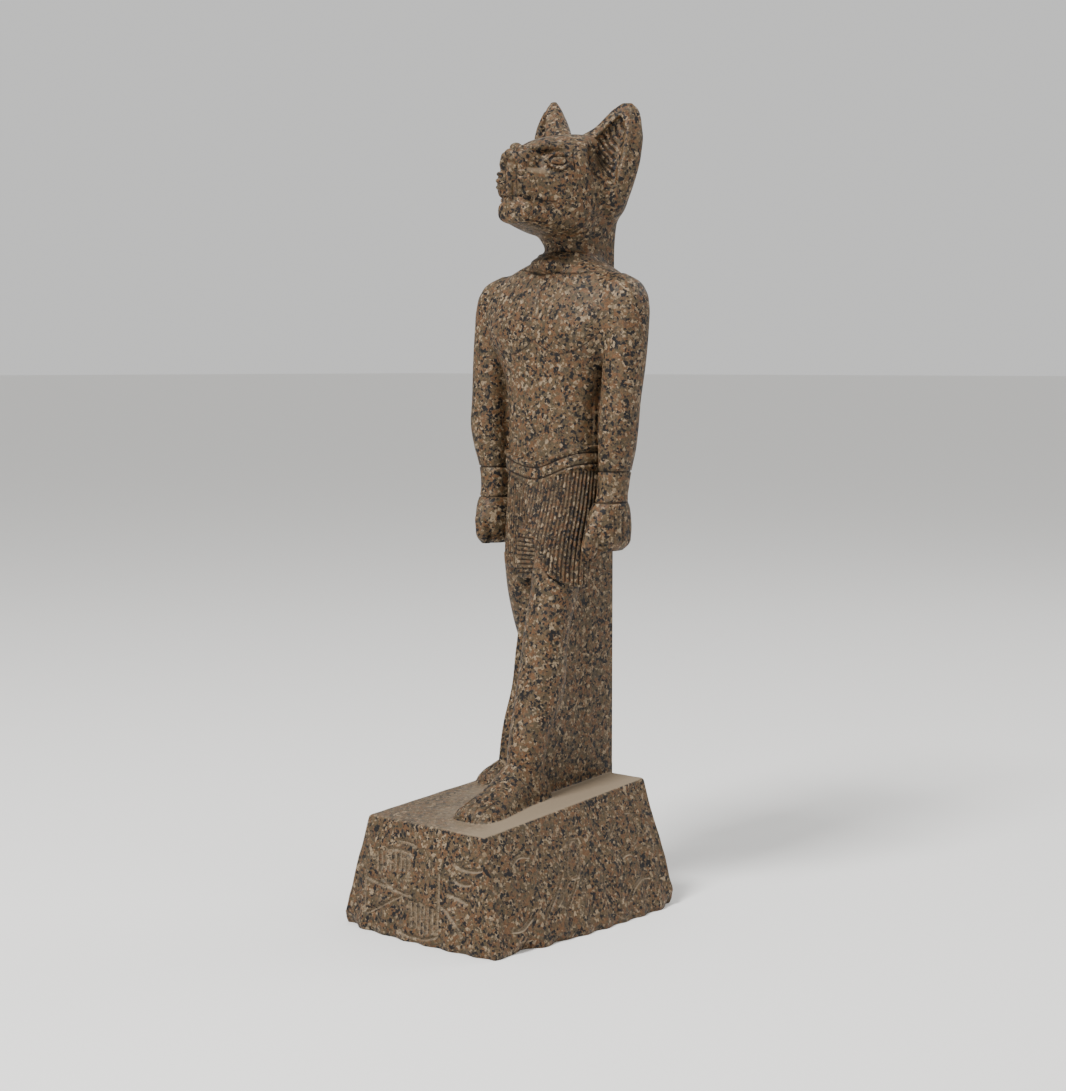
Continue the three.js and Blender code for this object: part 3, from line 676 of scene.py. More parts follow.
JAW = [
    (40, 0, 341, 19, 9.4),
    (28, 0, 341.4, 18.6, 8.8),
    (16, 0, 342.4, 15.6, 7.4),
    (7, 0, 343, 12, 6.2),
    (2.4, 0, 343.2, 10.4, 5.8),
    (-0.2, 0, 343.2, 9.4, 5.2),
]
# Bars and knobs on the left half of the face, repeated on the right, as (x, y, z, radius)
BROW = [(4, 12.6, 373, 2.2), (9, 14, 374.2, 2.6), (14, 18.4, 374, 2.4), (18, 24, 372.4, 1.8)]
BROW_KNOBS = [(4.6, 11.8, 373.6, 2.5), (9.6, 13.8, 375, 2.6), (14.6, 18.8, 374.6, 2.4)]
KNOB_SHAPE = (1.25, 1.0, 0.85)
WHISKER_KNOB_SHAPE = (1.3, 1.0, 0.85)
NOSE_ARCH = [(6.6, 2.2, 361.4, 1.3), (5.8, 0.4, 365.6, 1.8), (3.2, -0.6, 369, 2.2), (0, -0.9, 370, 2.4)]
WHISKER_KNOBS = [(6.8, -0.7, 361, 1.4), (7.0, -1.0, 357.8, 1.5), (6.8, -1.0, 354.6, 1.5)]
LIP = [
    (0, -1.2, 349.8, 0.9),
    (6.4, 0.2, 350, 1.0),
    (10.2, 3.6, 348.2, 1.0),
    (13, 8, 347.2, 0.9),
    (16.6, 14, 347.4, 0.6),
]
NOSE_BAR = [(0, -1.2, 363.6, 1.7), (0, -1.1, 351.8, 1.8)]
NOSE_GROOVE = [(3.5, -1.6, 364, 1.4), (3.6, -1.4, 351.4, 1.3)]
NOSTRIL = {"middle": (2.7, -2.6, 365.4), "radii": (1.7, 2.0, 2.3)}
WHISKER_PAD = {"middle": (5.4, 1.4, 356.4), "radii": (4.0, 2.8, 5.6)}
CHEEK = {"middle": (12.8, 9, 349.2), "radii": (2.6, 1.8, 1.6), "turn": 40}
EYE = {"middle": (16.4, 15.9, 367), "half": 5.4, "rise": 3.1, "swell": 1.8, "turn": 48.0}
# The lids stand out past the eye, bow forward in the middle and taper to its corners
LIDS = {"past": 0.8, "bow": 1.3, "taper": 2.2, "radius": 0.85, "upper": 0.5, "lower": 0.4}

# Ear stations are (z, middle x, middle y, half width, half thickness)
EAR_TURN = math.atan2(0.53, 0.85)
EAR = [
    (338, 15, 54, 2.4, 2.4),
    (345, 17.8, 51.4, 7.4, 8),
    (352, 19.4, 50.6, 9.4, 9),
    (362, 19, 50.6, 13, 8.6),
    (370, 18, 51, 15.6, 7.8),
    (377, 17.4, 51.4, 16.8, 7.2),
    (382, 18, 52.2, 16.4, 6.8),
    (388, 21, 55.4, 11.6, 6.2),
    (393, 22.6, 56.8, 8.8, 4.6),
    (397, 23.5, 57.6, 6, 3),
    (400, 23.9, 58.2, 2.4, 1.2),
]
# Scoop stations are (z, place across the ear, half width, depth)
SCOOP = [
    (358, 3.4, 0.6, 1.6),
    (361, 2.8, 2.3, 2.6),
    (366, 1.4, 4.9, 3.4),
    (371, 1.6, 6.4, 3.8),
    (376, 0.9, 8.0, 4.0),
    (379, 0.6, 8.4, 4.0),
    (383, 1.2, 7.1, 3.8),
    (387, 0.1, 5.4, 3.2),
    (390, -0.5, 3.6, 2.6),
    (393.6, -0.7, 0.8, 1.6),
]
DISH = {"z": 370.0, "across": -1.0, "out": 7.6, "half": 8.0, "depth": 6.6, "tall": 8.4}
# Three points of each ridge, as (first ridge's z, last's, first's place across, last's, depth)
RIDGES = 8
RIDGE_ROWS = [
    (389.6, 375.5, 0.6, -8.2, 2.0),
    (387.4, 367.6, 2.6, -2.6, 3.4),
    (386.0, 361.6, 4.6, 2.2, 2.4),
]
RIM_FOOT_Z = 360
RIM_GAP = 0.8
RIM_SUNK = 0.9
EAR_BOX = {"x": 20, "half": 24, "y": (34, 70)}
LEFT_EAR_LIFT = -2.6
RIGHT_EAR_LIFT = 1.6


def ear_lift(side):
    return LEFT_EAR_LIFT if side > 0 else RIGHT_EAR_LIFT


def ear_like(stations, side, square):
    """A wedge turned with the ear; stations are (z, x, y, half width, half thickness)."""
    low = EAR[0][0]
    stretch = 1 + ear_lift(side) / (EAR[-1][0] - low)
    lifted = [(low + (z - low) * stretch, *rest) for z, *rest in stations]
    middle = side * EAR_BOX["x"]
    box = [
        (middle - EAR_BOX["half"], middle + EAR_BOX["half"]),
        EAR_BOX["y"],
        (lifted[0][0], lifted[-1][0]),
    ]
    c = math.cos(EAR_TURN)
    s = math.sin(EAR_TURN)

    def distance(x, y, z):
        at = along(lifted, z[0, 0])
        mid_x, mid_y, half, thick = (at[:, k][None, None, :] for k in range(4))
        dx = side * x - mid_x
        dy = y - mid_y
        flat = ring_distance(c * dx + s * dy, c * dy - s * dx, half, thick, square)
        return np.maximum(flat, np.maximum(box[2][0] - z, z - box[2][1]))

    return box, distance


def on_ear(z, across, out):
    """The point of the ear's front face at height z, moved across the ear and outward."""
    ear_x, ear_y, _, thick = along(EAR, [z])[0]
    c = math.cos(EAR_TURN)
    s = math.sin(EAR_TURN)
    return ear_x + c * across + s * (thick + out), ear_y + s * across - c * (thick + out), z


def scoop_stations():
    placed = []
    for z, across, half, depth in SCOOP:
        x, y, _ = on_ear(z, across, 0.0)
        placed.append((z, x, y, half, depth))
    return placed


def raised(point, side):
    """A point of the ear, lifted as that ear is and put on its side of the head."""
    x, y, z, *rest = point
    low = EAR[0][0]
    share = (z - low) / (EAR[-1][0] - low)
    return (side * x, y, z + ear_lift(side) * share, *rest)


def ear_dish(side):
    """The wide shallow hollow where the ear opens onto the side of the head."""
    x, y, z = on_ear(DISH["z"], DISH["across"], DISH["out"])
    radii = (DISH["half"], DISH["depth"], DISH["tall"])
    return egg(raised((x, y, z), side), radii, side * math.degrees(EAR_TURN))


def ear_rim(side, edge, radius):
    points = []
    for z, across, half, _ in SCOOP:
        if z > RIM_FOOT_Z:
            points.append((*on_ear(z, across + edge * (half + RIM_GAP), -RIM_SUNK), radius))
    return strand([raised(point, side) for point in points])


def eye_points(side, way, lift, radius):
    x, y, z = EYE["middle"]
    run = math.radians(EYE["turn"])
    points = []
    for step in range(9):
        t = step / 4 - 1
        out = LIDS["bow"] * (1 - t * t)
        arc = way * (EYE["rise"] + lift) * (1 - abs(t) ** LIDS["taper"])
        px = x + t * (EYE["half"] + LIDS["past"]) * math.cos(run) + out * math.sin(run)
        py = y + t * (EYE["half"] + LIDS["past"]) * math.sin(run) - out * math.cos(run)
        points.append((side * px, py, z + arc, radius))
    return points


def knob(x, y, z, radius, shape):
    return egg((x, y, z), [share * radius for share in shape])


def egg_on_side(shape, side):
    return egg(on_side(shape["middle"], side), shape["radii"], side * shape.get("turn", 0.0))


def add_head(stone):
    stone.add(upright(NECK, square=2.4), 2.5)
    stone.add(upright(COLLAR, square=2.6, rim=1.2), 1.6)
    stone.add(upright(NAPE, square=4.0), 3.6)
    stone.add(upright(SKULL, square=2.5), 1.6)
    stone.add(forward(MUZZLE, square=3.0, rim=2.4), 2.6)
    stone.add(forward(BRIDGE, square=2.4, rim=2.4), 1.6)
    stone.add(forward(JAW, square=2.8, rim=2.6), 1.0)
    for side in (1, -1):
        stone.add(strand(all_on_side(BROW, side)), 2.0)
        for place in all_on_side(BROW_KNOBS, side):
            stone.add(knob(*place, KNOB_SHAPE), 0.8)
        stone.add(egg_on_side(WHISKER_PAD, side), 1.0)
        stone.cut(strand(all_on_side(NOSE_GROOVE, side)), 0.5)
        stone.add(strand(all_on_side(NOSE_ARCH, side)), 1.2)
        stone.cut(egg_on_side(NOSTRIL, side), 0.6)
        for place in all_on_side(WHISKER_KNOBS, side):
            stone.add(knob(*place, WHISKER_KNOB_SHAPE), 0.4)
        stone.cut(strand(all_on_side(LIP, side)), 0.6)
        stone.add(egg_on_side(CHEEK, side), 0.9)
        add_eye(stone, side)
        add_ear(stone, side)
    stone.add(strand(NOSE_BAR), 0.5)


def add_eye(stone, side):
    radii = (EYE["half"] - 0.4, EYE["swell"] + 0.4, EYE["rise"] - 0.6)
    for way, lift in ((1, LIDS["upper"]), (-1, LIDS["lower"])):
        stone.add(strand(eye_points(side, way, lift, LIDS["radius"])), 1.1)
    stone.add(egg(on_side(EYE["middle"], side), radii, side * EYE["turn"]), 0.7)


def add_ear(stone, side):
    stone.add(ear_like(EAR, side, square=2.3), 2.5)
    stone.cut(ear_dish(side), 5.0)
    stone.cut(ear_like(scoop_stations(), side, square=2.0), 1.2)
    stone.add(ear_rim(side, edge=1, radius=1.9), 1.2)
    stone.add(ear_rim(side, edge=-1, radius=1.0), 1.0)


def in_front_of_the_back(x, y, z):
    return BACK_Y - y + 0 * x + 0 * z


def carve():
    """The whole figure. The last value of each add or cut is how widely its edge blends."""
    stone = Stone(GRID_LOW, GRID_HIGH, GRID_STEP)
    stone.add(base_form(), 0.1)
    stone.add(block((-PILLAR_HALF_X, 40, 55), (PILLAR_HALF_X, BACK_Y, PILLAR_TOP)), 1.5)
    stone.add(web_form(), 1.0)
    stone.add(upright(LEFT_LEG), 1.5)
    stone.add(upright(RIGHT_LEG), 1.5)
    stone.add(foot_form(LEFT_FOOT), 2.0)
    stone.add(foot_form(RIGHT_FOOT), 2.0)
    stone.add(upright(TORSO, 2.6), 1.0)
    for side in (1, -1):
        stone.add(egg_on_side(BREAST, side), 3.0)
    stone.add(block(*HIP_BLOCK, 0.6), 1.0)
    stone.add(block(*ARM_WEB), 1.0)
    for side in (1, -1):
        arm = ARM if side > 0 else mirrored(ARM)
        thumb = THUMB if side > 0 else mirrored(drawn_in(THUMB, **FAR_THUMB))
        stone.add(upright(arm, ARM_SQUARE), 3.4)
        stone.add(upright(thumb), 1.0)
        stone.add(egg_on_side(FIST_END, side), 1.2)
        stone.cut(strand(all_on_side(ARMPIT, side)), 3.6)
    stone.add(kilt_form(), 0.5)
    stone.add(panel_form(), 0.15)
    stone.add(block(*TAB_FILL, TAB_ROUND), 0.8)
    stone.add(block(*TAB_BLOCK, TAB_ROUND), 0.5)
    stone.add(belt_form(0, BELT_HEIGHT, 1.2), 0.3)
    stone.add(belt_form(BELT_HEIGHT - RIM_HEIGHT, BELT_HEIGHT, 1.8), 0.3)
    add_head(stone)
    stone.cut((BEHIND, in_front_of_the_back), 0.8)
    return stone


# Lines cut in the stone, as lists of (x, y, z) points close to its surface. Strokes on the base
# are (u0, v0, u1, v1, bow), with u along the face and v up it.
def arc_points(row, place_on, steps=10):
    """A bowed stroke from (u0, v0) to (u1, v1) on one of the base's faces."""
    u0, v0, u1, v1, bow = row
    length = math.hypot(u1 - u0, v1 - v0)
    points = []
    for step in range(steps + 1):
        t = step / steps
        arch = 4 * bow * t * (1 - t)
        u = mix(u0, u1, t) - arch * (v1 - v0) / length
        v = mix(v0, v1, t) + arch * (u1 - u0) / length
        points.append(place_on(u, v))
    return points


def front_point(x, z):
    share = z / BASE_HEAD["z"]
    plain = mix(BASE_FOOT["half_y"], BASE_HEAD["half_y"], share)
    return x, -plain - float(face_bulge("front", np.array(x), share)), z


def side_point(y, z):
    share = z / BASE_HEAD["z"]
    plain = mix(BASE_FOOT["half_x"], BASE_HEAD["half_x"], share)
    return plain + float(face_bulge("right", np.array(y), share)), y, z


def hatch(count, u0, u1, v, height, lean=1.2, climb=0.35):
    rows = []
    for i in range(count):
        u = mix(u0, u1, i / (count - 1))
        rows.append((u, v + height + i * climb, u + lean, v + i * climb, 0))
    return rows


FRONT_STROKES = hatch(8, -30, -8, 30, 8) + hatch(6, -3, 11, 8, 11, 1.6, -0.3) + [
    (-24, 39.6, -5.5, 38.9, 1.5),
    (-36, 28, -33.6, 9.5, 0),
    (-32, 8.6, -10, 20.4, 0),
    (-34, 25, -18, 23.5, -1.0),
    (-24, 25.5, -4, 21.5, -1.8),
    (12.4, 34.3, 15.2, 6, 0),
    (-9, 5, 15, 5.4, -2.6),
    (15.5, 19.2, 30, 8, 1.6),
    (20.7, 40, 38, 39.4, -1.8),
    (22, 33, 32, 32, -1.2),
    (19, 25.5, 31, 23, 0.8),
    (-16, 45, -4, 44, 0.6),
]
SIDE_STROKES = [
    (-14, 29.8, -27.3, 14.6, 0),
    (-10.5, 25.6, -21, 17, 0),
    (-5.4, 24.8, -13, 15, 0),
    (-44.5, 40.3, -34.6, 41.3, 1.4),
    (-53, 10.9, -39, 14.3, -1.5),
    (31, 47, 25.8, 42, 0),
    (40, 50, 48, 42, 3.0),
    (48, 41, 43.5, 35, 0.8),
    (32.3, 29.8, 41.4, 29.2, 1.3),
    (48.8, 17.3, 32, 9.3, -3.5),
    (26, 15.6, 23.5, 10, 0),
    (57.6, 15, 52.4, 8.6, 0),
    (19, 5.6, 33, 2.6, -2.0),
]
RING_SIGN = {"y": -4, "z": 35.2, "half_y": 5, "half_z": 8.6, "lean": 0.25}


def ring_sign():
    points = []
    for step in range(25):
        angle = 2 * math.pi * step / 24
        rise = RING_SIGN["half_z"] * math.sin(angle)
        y = RING_SIGN["y"] + RING_SIGN["half_y"] * math.cos(angle) + RING_SIGN["lean"] * rise
        points.append(side_point(y, RING_SIGN["z"] + rise))
    return points


def base_strokes():
    strokes = [arc_points(row, front_point) for row in FRONT_STROKES]
    return strokes + [arc_points(row, side_point) for row in SIDE_STROKES] + [ring_sign()]


def ring_at(half_x, half_y, square, share):
    """A point of a superellipse at a share of its length, from the front, turning to the left side."""
    angles = np.linspace(0, 2 * math.pi, 721)
    c = np.sin(angles)
    s = -np.cos(angles)
    reach = (np.abs(c) ** square + np.abs(s) ** square) ** (-1 / square)
    x = half_x * reach * c
    y = half_y * reach * s
    length = np.concatenate([[0], np.cumsum(np.hypot(np.diff(x), np.diff(y)))])
    where = share * length[-1]
    return float(np.interp(where, length, x)), float(np.interp(where, length, y))


def over_tab(x, z):
    return TAB["left"] - 1 < x < TAB["right"] + 1 and z < TAB["top"] + 2


def on_cloth(x, z):
    """False on the thigh that shows between the inner wrap and the near panel's round corner."""
    edge = float(along(PANEL_EDGE, [z])[0, 0])
    wrap_hem = mix(HEM["far front"], HEM["hidden"] + 1, float(hidden_share(x)))
    return x > edge + 0.8 or z > wrap_hem + 0.5


EDGE_LINE_Z = (162.0, 209.0)
PLEAT_Z = (161.0, 236.0)
LINE_STEP = 1.5


def panel_edge_line():
    points = []
    for z in np.arange(*EDGE_LINE_Z, LINE_STEP):
        half_x, half_y, stride = along(KILT_ROWS, [z])[0]
        x = float(along(PANEL_EDGE, [z])[0, 0]) - 0.5
        flat = (1 - min(1.0, abs(x / half_x)) ** KILT_SQUARE) ** (1 / KILT_SQUARE)
        points.append((x, KILT_CENTRE_Y - half_y * flat - stride * panel_swell(x) + 1.0, z))
    return points


def pleats():
    """Upright lines round the kilt, from its hem to the belt and clear of the tab and the arms."""
    lines = []
    count = int(PLEATS["around"] / PLEATS["pitch"])
    for i in range(count):
        x0, y0 = ring_at(PLEATS["half x"], PLEATS["half y"], KILT_SQUARE, i / count)
        points = []
        for z in np.arange(*PLEAT_Z, LINE_STEP):
            half_x, half_y, stride = along(KILT_ROWS, [z])[0]
            x = x0 * half_x / PLEATS["half x"]
            v = y0 / PLEATS["half y"]
            on_panel = x > float(along(PANEL_EDGE, [z])[0, 0])
            swell = panel_swell(x) if on_panel else wrap_swell(x)
            in_front = smooth((STRIDE_FADE - y0) / (2 * STRIDE_FADE))
            y = KILT_CENTRE_Y + half_y * v - stride * swell * in_front
            belt_foot = BELT_FRONT_Z + float(belt_rise(x, y)) - 0.6
            hem = hem_height(x, y, HEM["near front" if x > 6 else "far front"])
            seen = on_cloth(x, z) and not over_tab(x, z) and y < PLEATS["end y"]
            if hem < z < belt_foot and seen:
                points.append((x, y, z))
        if len(points) > 2:
            lines.append(points)
    return lines


def tab_ribs():
    lines = []
    for i in range(9):
        z = FIRST_RIB_Z + RIB_PITCH * i
        tilt = mix(1.0, -0.9, i / 8)
        left = (TAB["left"] + 0.8, TAB["front"], z)
        lines.append([left, (TAB["right"] - 0.4, TAB["front"], z + tilt)])
    return lines


def ear_ridges(side):
    """Ridges across the scoop, fanning out from its tip to its foot."""
    lines = []
    for i in range(RIDGES):
        t = i / (RIDGES - 1)
        ridge = []
        for z0, z1, across0, across1, sunk in RIDGE_ROWS:
            point = on_ear(mix(z0, z1, t), mix(across0, across1, t), -sunk)
            ridge.append(raised(point, side))
        lines.append(ridge)
    return lines


def belt_line(up, grow):
    points = []
    for step in range(101):
        x, y = ring_at(BELT_HALF_X + grow, BELT_HALF_Y + grow, KILT_SQUARE, step / 100)
        y = y + KILT_CENTRE_Y
        points.append((x, y, BELT_FRONT_Z + float(belt_rise(x, y)) + up))
    return points


def arm_ring(side, z):
    mid_x, mid_y, half_x, half_y = along(ARM, [z])[0]
    points = []
    for step in range(41):
        x, y = ring_at(half_x, half_y, ARM_SQUARE, step / 40)
        points.append((side * (mid_x + x), mid_y + y, z))
    return points


def toe_gaps(stations):
    toe_y, toe_x = stations[-2][:2]
    lines = []
    for gap in TOE_GAPS:
        x = toe_x + math.copysign(gap, toe_x * gap)
        points = []
        for step in range(TOE_LINE["points"]):
            y = toe_y - TOE_LINE["before"] + step * TOE_LINE["step"]
            rise = along(stations, [min(y, toe_y + TOE_LINE["reach"])])[0][1]
            points.append((x, y, top_of_base(y) + TOE_LINE["height"] * rise))
        lines.append(points)
    return lines


# Belt lines as (height on the belt, how far out they are drawn)
BELT_LINES = [(1.7, 1.2), (7.2, 1.4)]
BRACELET_Z = (218.4, 203.6)
TEMPLE_LINE = [(21.6, 20.6, 371.5), (22.2, 20.8, 367), (22.8, 21, 362)]
COLLAR_LINE = [(-22, 30, 317), (-9, 26, 314.6), (6, 24, 314.2), (21, 26, 314.4), (34, 34, 318.4)]
NOSE_SIDE_LINE = [(3.5, 0, 364), (3.6, 0, 351.6)]
CHEST_LINE = [(0.3, 20, 309), (0.3, 17, 298)]
NAVEL_LINE = [(0, 17, 239), (0, 17, 233.5)]
FINGERS = {"x": (45.2, 44.2), "y": 29.5, "z": (197, 184), "gaps": (-5.5, 0, 5.5)}
BREAST_LINE = {"start": (0.6, 15.6, 282), "end": (37, 20.5, 284.5), "sag": 8.6, "fullness": 0.8}


def body_lines():
    lines = [belt_line(*row) for row in BELT_LINES] + [panel_edge_line()]
    for side in (1, -1):
        lines += [arm_ring(side, z) for z in BRACELET_Z]
        lines.append(all_on_side(TEMPLE_LINE, side))
    lines.append(COLLAR_LINE)
    return lines + toe_gaps(LEFT_FOOT) + toe_gaps(RIGHT_FOOT)


# Shallow grooves at the lips, beside the nose and round the eyes; like every groove on the figure they
# are darkened with painted shade
def face_lines():
    lines = []
    for side in (1, -1):
        lines.append([(side * x, y, z) for x, y, z, _ in LIP])
        lines.append(all_on_side(NOSE_SIDE_LINE, side))
        for way in (1, -1):
            for lift in (2.0, -1.0):
                lines.append([point[:3] for point in eye_points(side, way, lift, 0)])
    return lines


def chest_lines():
    lines = [CHEST_LINE, NAVEL_LINE]
    x0, y0, z0 = BREAST_LINE["start"]
    x1, y1, z1 = BREAST_LINE["end"]
    for side in (1, -1):
        for gap in FINGERS["gaps"]:
            ends = zip(FINGERS["x"], FINGERS["z"])
            lines.append([(side * x, FINGERS["y"] + gap, z) for x, z in ends])
        breast = []
        for step in range(14):
            share = step / 13
            sag = BREAST_LINE["sag"] * math.sin(math.pi * share) ** BREAST_LINE["fullness"]
            breast.append((side * mix(x0, x1, share), mix(y0, y1, share**3), mix(z0, z1, share) - sag))
        lines.append(breast)
    return lines


def line_object(name, paths):
    """Edges through the points of each path, at most a millimetre apart."""
    points = []
    edges = []
    for path in paths:
        for a, b in zip(path[:-1], path[1:]):
            steps = max(1, int(math.dist(a, b)))
            for step in range(steps):
                points.append([mix(p, q, step / steps) for p, q in zip(a, b)])
                edges.append((len(points) - 1, len(points)))
        points.append(list(path[-1]))
    mesh = bpy.data.meshes.new(name)
    placed = (np.array(points) + np.array(SHIFT)) * MM
    mesh.from_pydata(placed.tolist(), edges, [])
    lines = bpy.data.objects.new(name, mesh)
    bpy.context.scene.collection.objects.link(lines)
    return lines


def new_node(tree, kind, **settings):
    node = tree.nodes.new(kind)
    for name, value in settings.items():
        setattr(node, name, value)
    return node


def wire(tree, *pairs):
    for start, end in pairs:
        tree.links.new(start, end)


CHISEL_INPUTS = [
    ("Stone", "Geometry"),
    ("Lines", "Object"),
    ("Width", "Float"),
    ("Depth", "Float"),
    ("Reach", "Float"),
    ("Granite", "Material"),
]


def chisel_tree():
    """Lays lines on a surface and cuts a rounded groove along each of them."""
    tree = bpy.data.node_groups.new("chisel_lines", "GeometryNodeTree")
    for name, kind in CHISEL_INPUTS:
        tree.interface.new_socket(name, in_out="INPUT", socket_type="NodeSocket" + kind)
    tree.interface.new_socket("Stone", in_out="OUTPUT", socket_type="NodeSocketGeometry")
    given = new_node(tree, "NodeGroupInput")
    result = new_node(tree, "NodeGroupOutput")
    source = new_node(tree, "GeometryNodeObjectInfo", transform_space="ORIGINAL")
    on_stone = new_node(tree, "GeometryNodeProximity", target_element="FACES")
    too_far = new_node(tree, "FunctionNodeCompare", data_type="FLOAT", operation="GREATER_THAN")
    drop = new_node(tree, "GeometryNodeDeleteGeometry", domain="POINT")
    lay = new_node(tree, "GeometryNodeSetPosition")
    to_line = new_node(tree, "GeometryNodeProximity", target_element="EDGES")
    half = new_node(tree, "ShaderNodeMath", operation="MULTIPLY")
    half.inputs[1].default_value = 0.5
    groove = new_node(tree, "ShaderNodeMapRange", interpolation_type="SMOOTHERSTEP")
    groove.inputs["To Min"].default_value = 1.0
    groove.inputs["To Max"].default_value = 0.0
    sink = new_node(tree, "ShaderNodeMath", operation="MULTIPLY")
    inward = new_node(tree, "ShaderNodeMath", operation="MULTIPLY")
    inward.inputs[1].default_value = -1.0
    normal = new_node(tree, "GeometryNodeInputNormal")
    move = new_node(tree, "ShaderNodeVectorMath", operation="SCALE")
    cut = new_node(tree, "GeometryNodeSetPosition")
    before = new_node(tree, "GeometryNodeInputNamedAttribute", data_type="FLOAT")
    before.inputs["Name"].default_value = "cut"
    most = new_node(tree, "ShaderNodeMath", operation="MAXIMUM")
    # The groove's share is kept in the cut attribute; the granite darkens it with painted shade on the
    # figure and makes it pale fresh stone on the base
    mark = new_node(tree, "GeometryNodeStoreNamedAttribute", data_type="FLOAT", domain="POINT")
    mark.inputs["Name"].default_value = "cut"
    real = new_node(tree, "GeometryNodeRealizeInstances")
    finish = new_node(tree, "GeometryNodeSetMaterial")
    wire(
        tree,
        (given.outputs["Lines"], source.inputs["Object"]),
        (given.outputs["Stone"], on_stone.inputs[0]),
        (on_stone.outputs["Distance"], too_far.inputs[0]),
        (given.outputs["Reach"], too_far.inputs[1]),
        (source.outputs["Geometry"], drop.inputs["Geometry"]),
        (too_far.outputs[0], drop.inputs["Selection"]),
        (drop.outputs["Geometry"], lay.inputs["Geometry"]),
        (on_stone.outputs["Position"], lay.inputs["Position"]),
        (lay.outputs["Geometry"], to_line.inputs[0]),
        (given.outputs["Width"], half.inputs[0]),
        (to_line.outputs["Distance"], groove.inputs["Value"]),
        (half.outputs[0], groove.inputs["From Max"]),
        (groove.outputs["Result"], sink.inputs[0]),
        (given.outputs["Depth"], sink.inputs[1]),
        (sink.outputs[0], inward.inputs[0]),
        (normal.outputs["Normal"], move.inputs[0]),
        (inward.outputs[0], move.inputs["Scale"]),
        (given.outputs["Stone"], mark.inputs["Geometry"]),
        (move.outputs["Vector"], cut.inputs["Offset"]),
        (before.outputs["Attribute"], most.inputs[0]),
        (groove.outputs["Result"], most.inputs[1]),
        (most.outputs[0], mark.inputs["Value"]),
        (mark.outputs["Geometry"], cut.inputs["Geometry"]),
        (cut.outputs["Geometry"], real.inputs["Geometry"]),
        (real.outputs["Geometry"], finish.inputs["Geometry"]),
        (given.outputs["Granite"], finish.inputs["Material"]),
        (finish.outputs["Geometry"], result.inputs[0]),
    )
    return tree


def both_ears_ridges():
    return ear_ridges(1) + ear_ridges(-1)


# Sets of lines as (name, what draws them, width, depth, reach): how wide and deep their grooves
# are, and how far a line may be laid from where it is drawn
# On the figure each groove is also darkened with painted shade; on the base the strokes are coloured as
# pale fresh stone
LINE_SETS = [
    ("pleats", pleats, 1.6, 0.8, 5.0),
    ("tab_ribs", tab_ribs, 1.4, 0.8, 2.0),
    ("ear_ridges", both_ears_ridges, 1.8, 0.9, 4.0),
    ("body_lines", body_lines, 1.4, 0.8, 3.5),
    ("chest_lines", chest_lines, 1.2, 0.35, 5.0),
    ("face_lines", face_lines, 1.2, 0.4, 3.0),
    ("base_strokes", base_strokes, 3.0, 1.5, 3.0),
]


def set_input(modifier, tree, name, value):
    for item in tree.interface.items_tree:
        if item.in_out == "INPUT" and item.name == name:
            modifier[item.identifier] = value


def stone_object(stone):
    points, quads = stone.mesh()
    mesh = bpy.data.meshes.new("statuette_stone")
    placed = (points + np.array(SHIFT)) * MM
    mesh.from_pydata(placed.tolist(), [], quads.tolist())
    mesh.update()
    body = bpy.data.objects.new("statuette_stone", mesh)
    bpy.context.scene.collection.objects.link(body)
    return body


def settle(body):
    """Turns the object and its modifiers into one plain mesh."""
    evaluated = body.evaluated_get(bpy.context.evaluated_depsgraph_get())
    mesh = bpy.data.meshes.new_from_object(evaluated)
    body.modifiers.clear()
    old = body.data
    body.data = mesh
    bpy.data.meshes.remove(old)


def chisel(body, granite):
    tree = chisel_tree()
    helpers = []
    for name, draw, width, depth, reach in LINE_SETS:
        lines = line_object(name, draw())
        helpers.append(lines)
        modifier = body.modifiers.new(name, "NODES")
        modifier.node_group = tree
        set_input(modifier, tree, "Lines", lines)
        for key, value in (("Width", width), ("Depth", depth), ("Reach", reach)):
            set_input(modifier, tree, key, value * MM)
        set_input(modifier, tree, "Granite", granite)
    settle(body)
    for lines in helpers:
        bpy.data.objects.remove(lines)


def thin(body):
    """Takes the mesh under its limit of triangles."""
    triangles = sum(len(face.vertices) - 2 for face in body.data.polygons)
    shrink = body.modifiers.new("thin", "DECIMATE")
    shrink.ratio = min(1.0, TRIANGLE_LIMIT / triangles)
    settle(body)


# Speckled granite. Lengths in the pattern are in millimetres.
GRAINS = {
    "tan": (0.084, 0.052, 0.025),
    "olive": (0.055, 0.039, 0.020),
    "rust": (0.098, 0.046, 0.019),
    "pale": (0.235, 0.175, 0.110),
    "mica": (0.006, 0.005, 0.005),
    "grey": (0.024, 0.020, 0.016),
    "dust": (0.185, 0.142, 0.096),
    # shade is not a colour of the stone: it is painted shade laid into the grooves on the figure
    "shade": (0.014, 0.009, 0.006),
    "fresh": (0.260, 0.200, 0.135),
}
# How far noise pushes the grains out of shape
GRAIN_PUSH = 1.7
# How wide the grains of feldspar, the small grains and the grains of mica are
GRAIN_SIZES = (1.75, 0.95, 1.45)
# Scale, detail and roughness
NOISES = {
    "wander": (0.8, 3.0),
    "patches": (0.11, 2.0),
    "clusters": (0.2, 3.0),
    "fine": (1.5, 3.0, 0.7),
    "dust": (70.0, 3.0),
}
TAN_COMES_IN = (0.35, 0.65)
RUST_IN_PATCHES = 0.9
# Colour, the range of a grain's random number over which it comes in, and its strength
LAYERS = [
    ("rust", 1.0, 1.22, 0.8),
    ("pale", 0.86, 0.96, 0.8),
    ("pale", 0.86, 0.94, 0.6),
    ("grey", 0.8, 0.88, 0.6),
]
# How far mica keeps to clusters, and the range over which it comes in
MICA_LAYERS = [(0.75, 1.2, 1.27), (0.5, 1.13, 1.19)]
FINE_SHADE = {"From Min": 0.3, "From Max": 0.7, "To Min": 0.55, "To Max": 1.4}
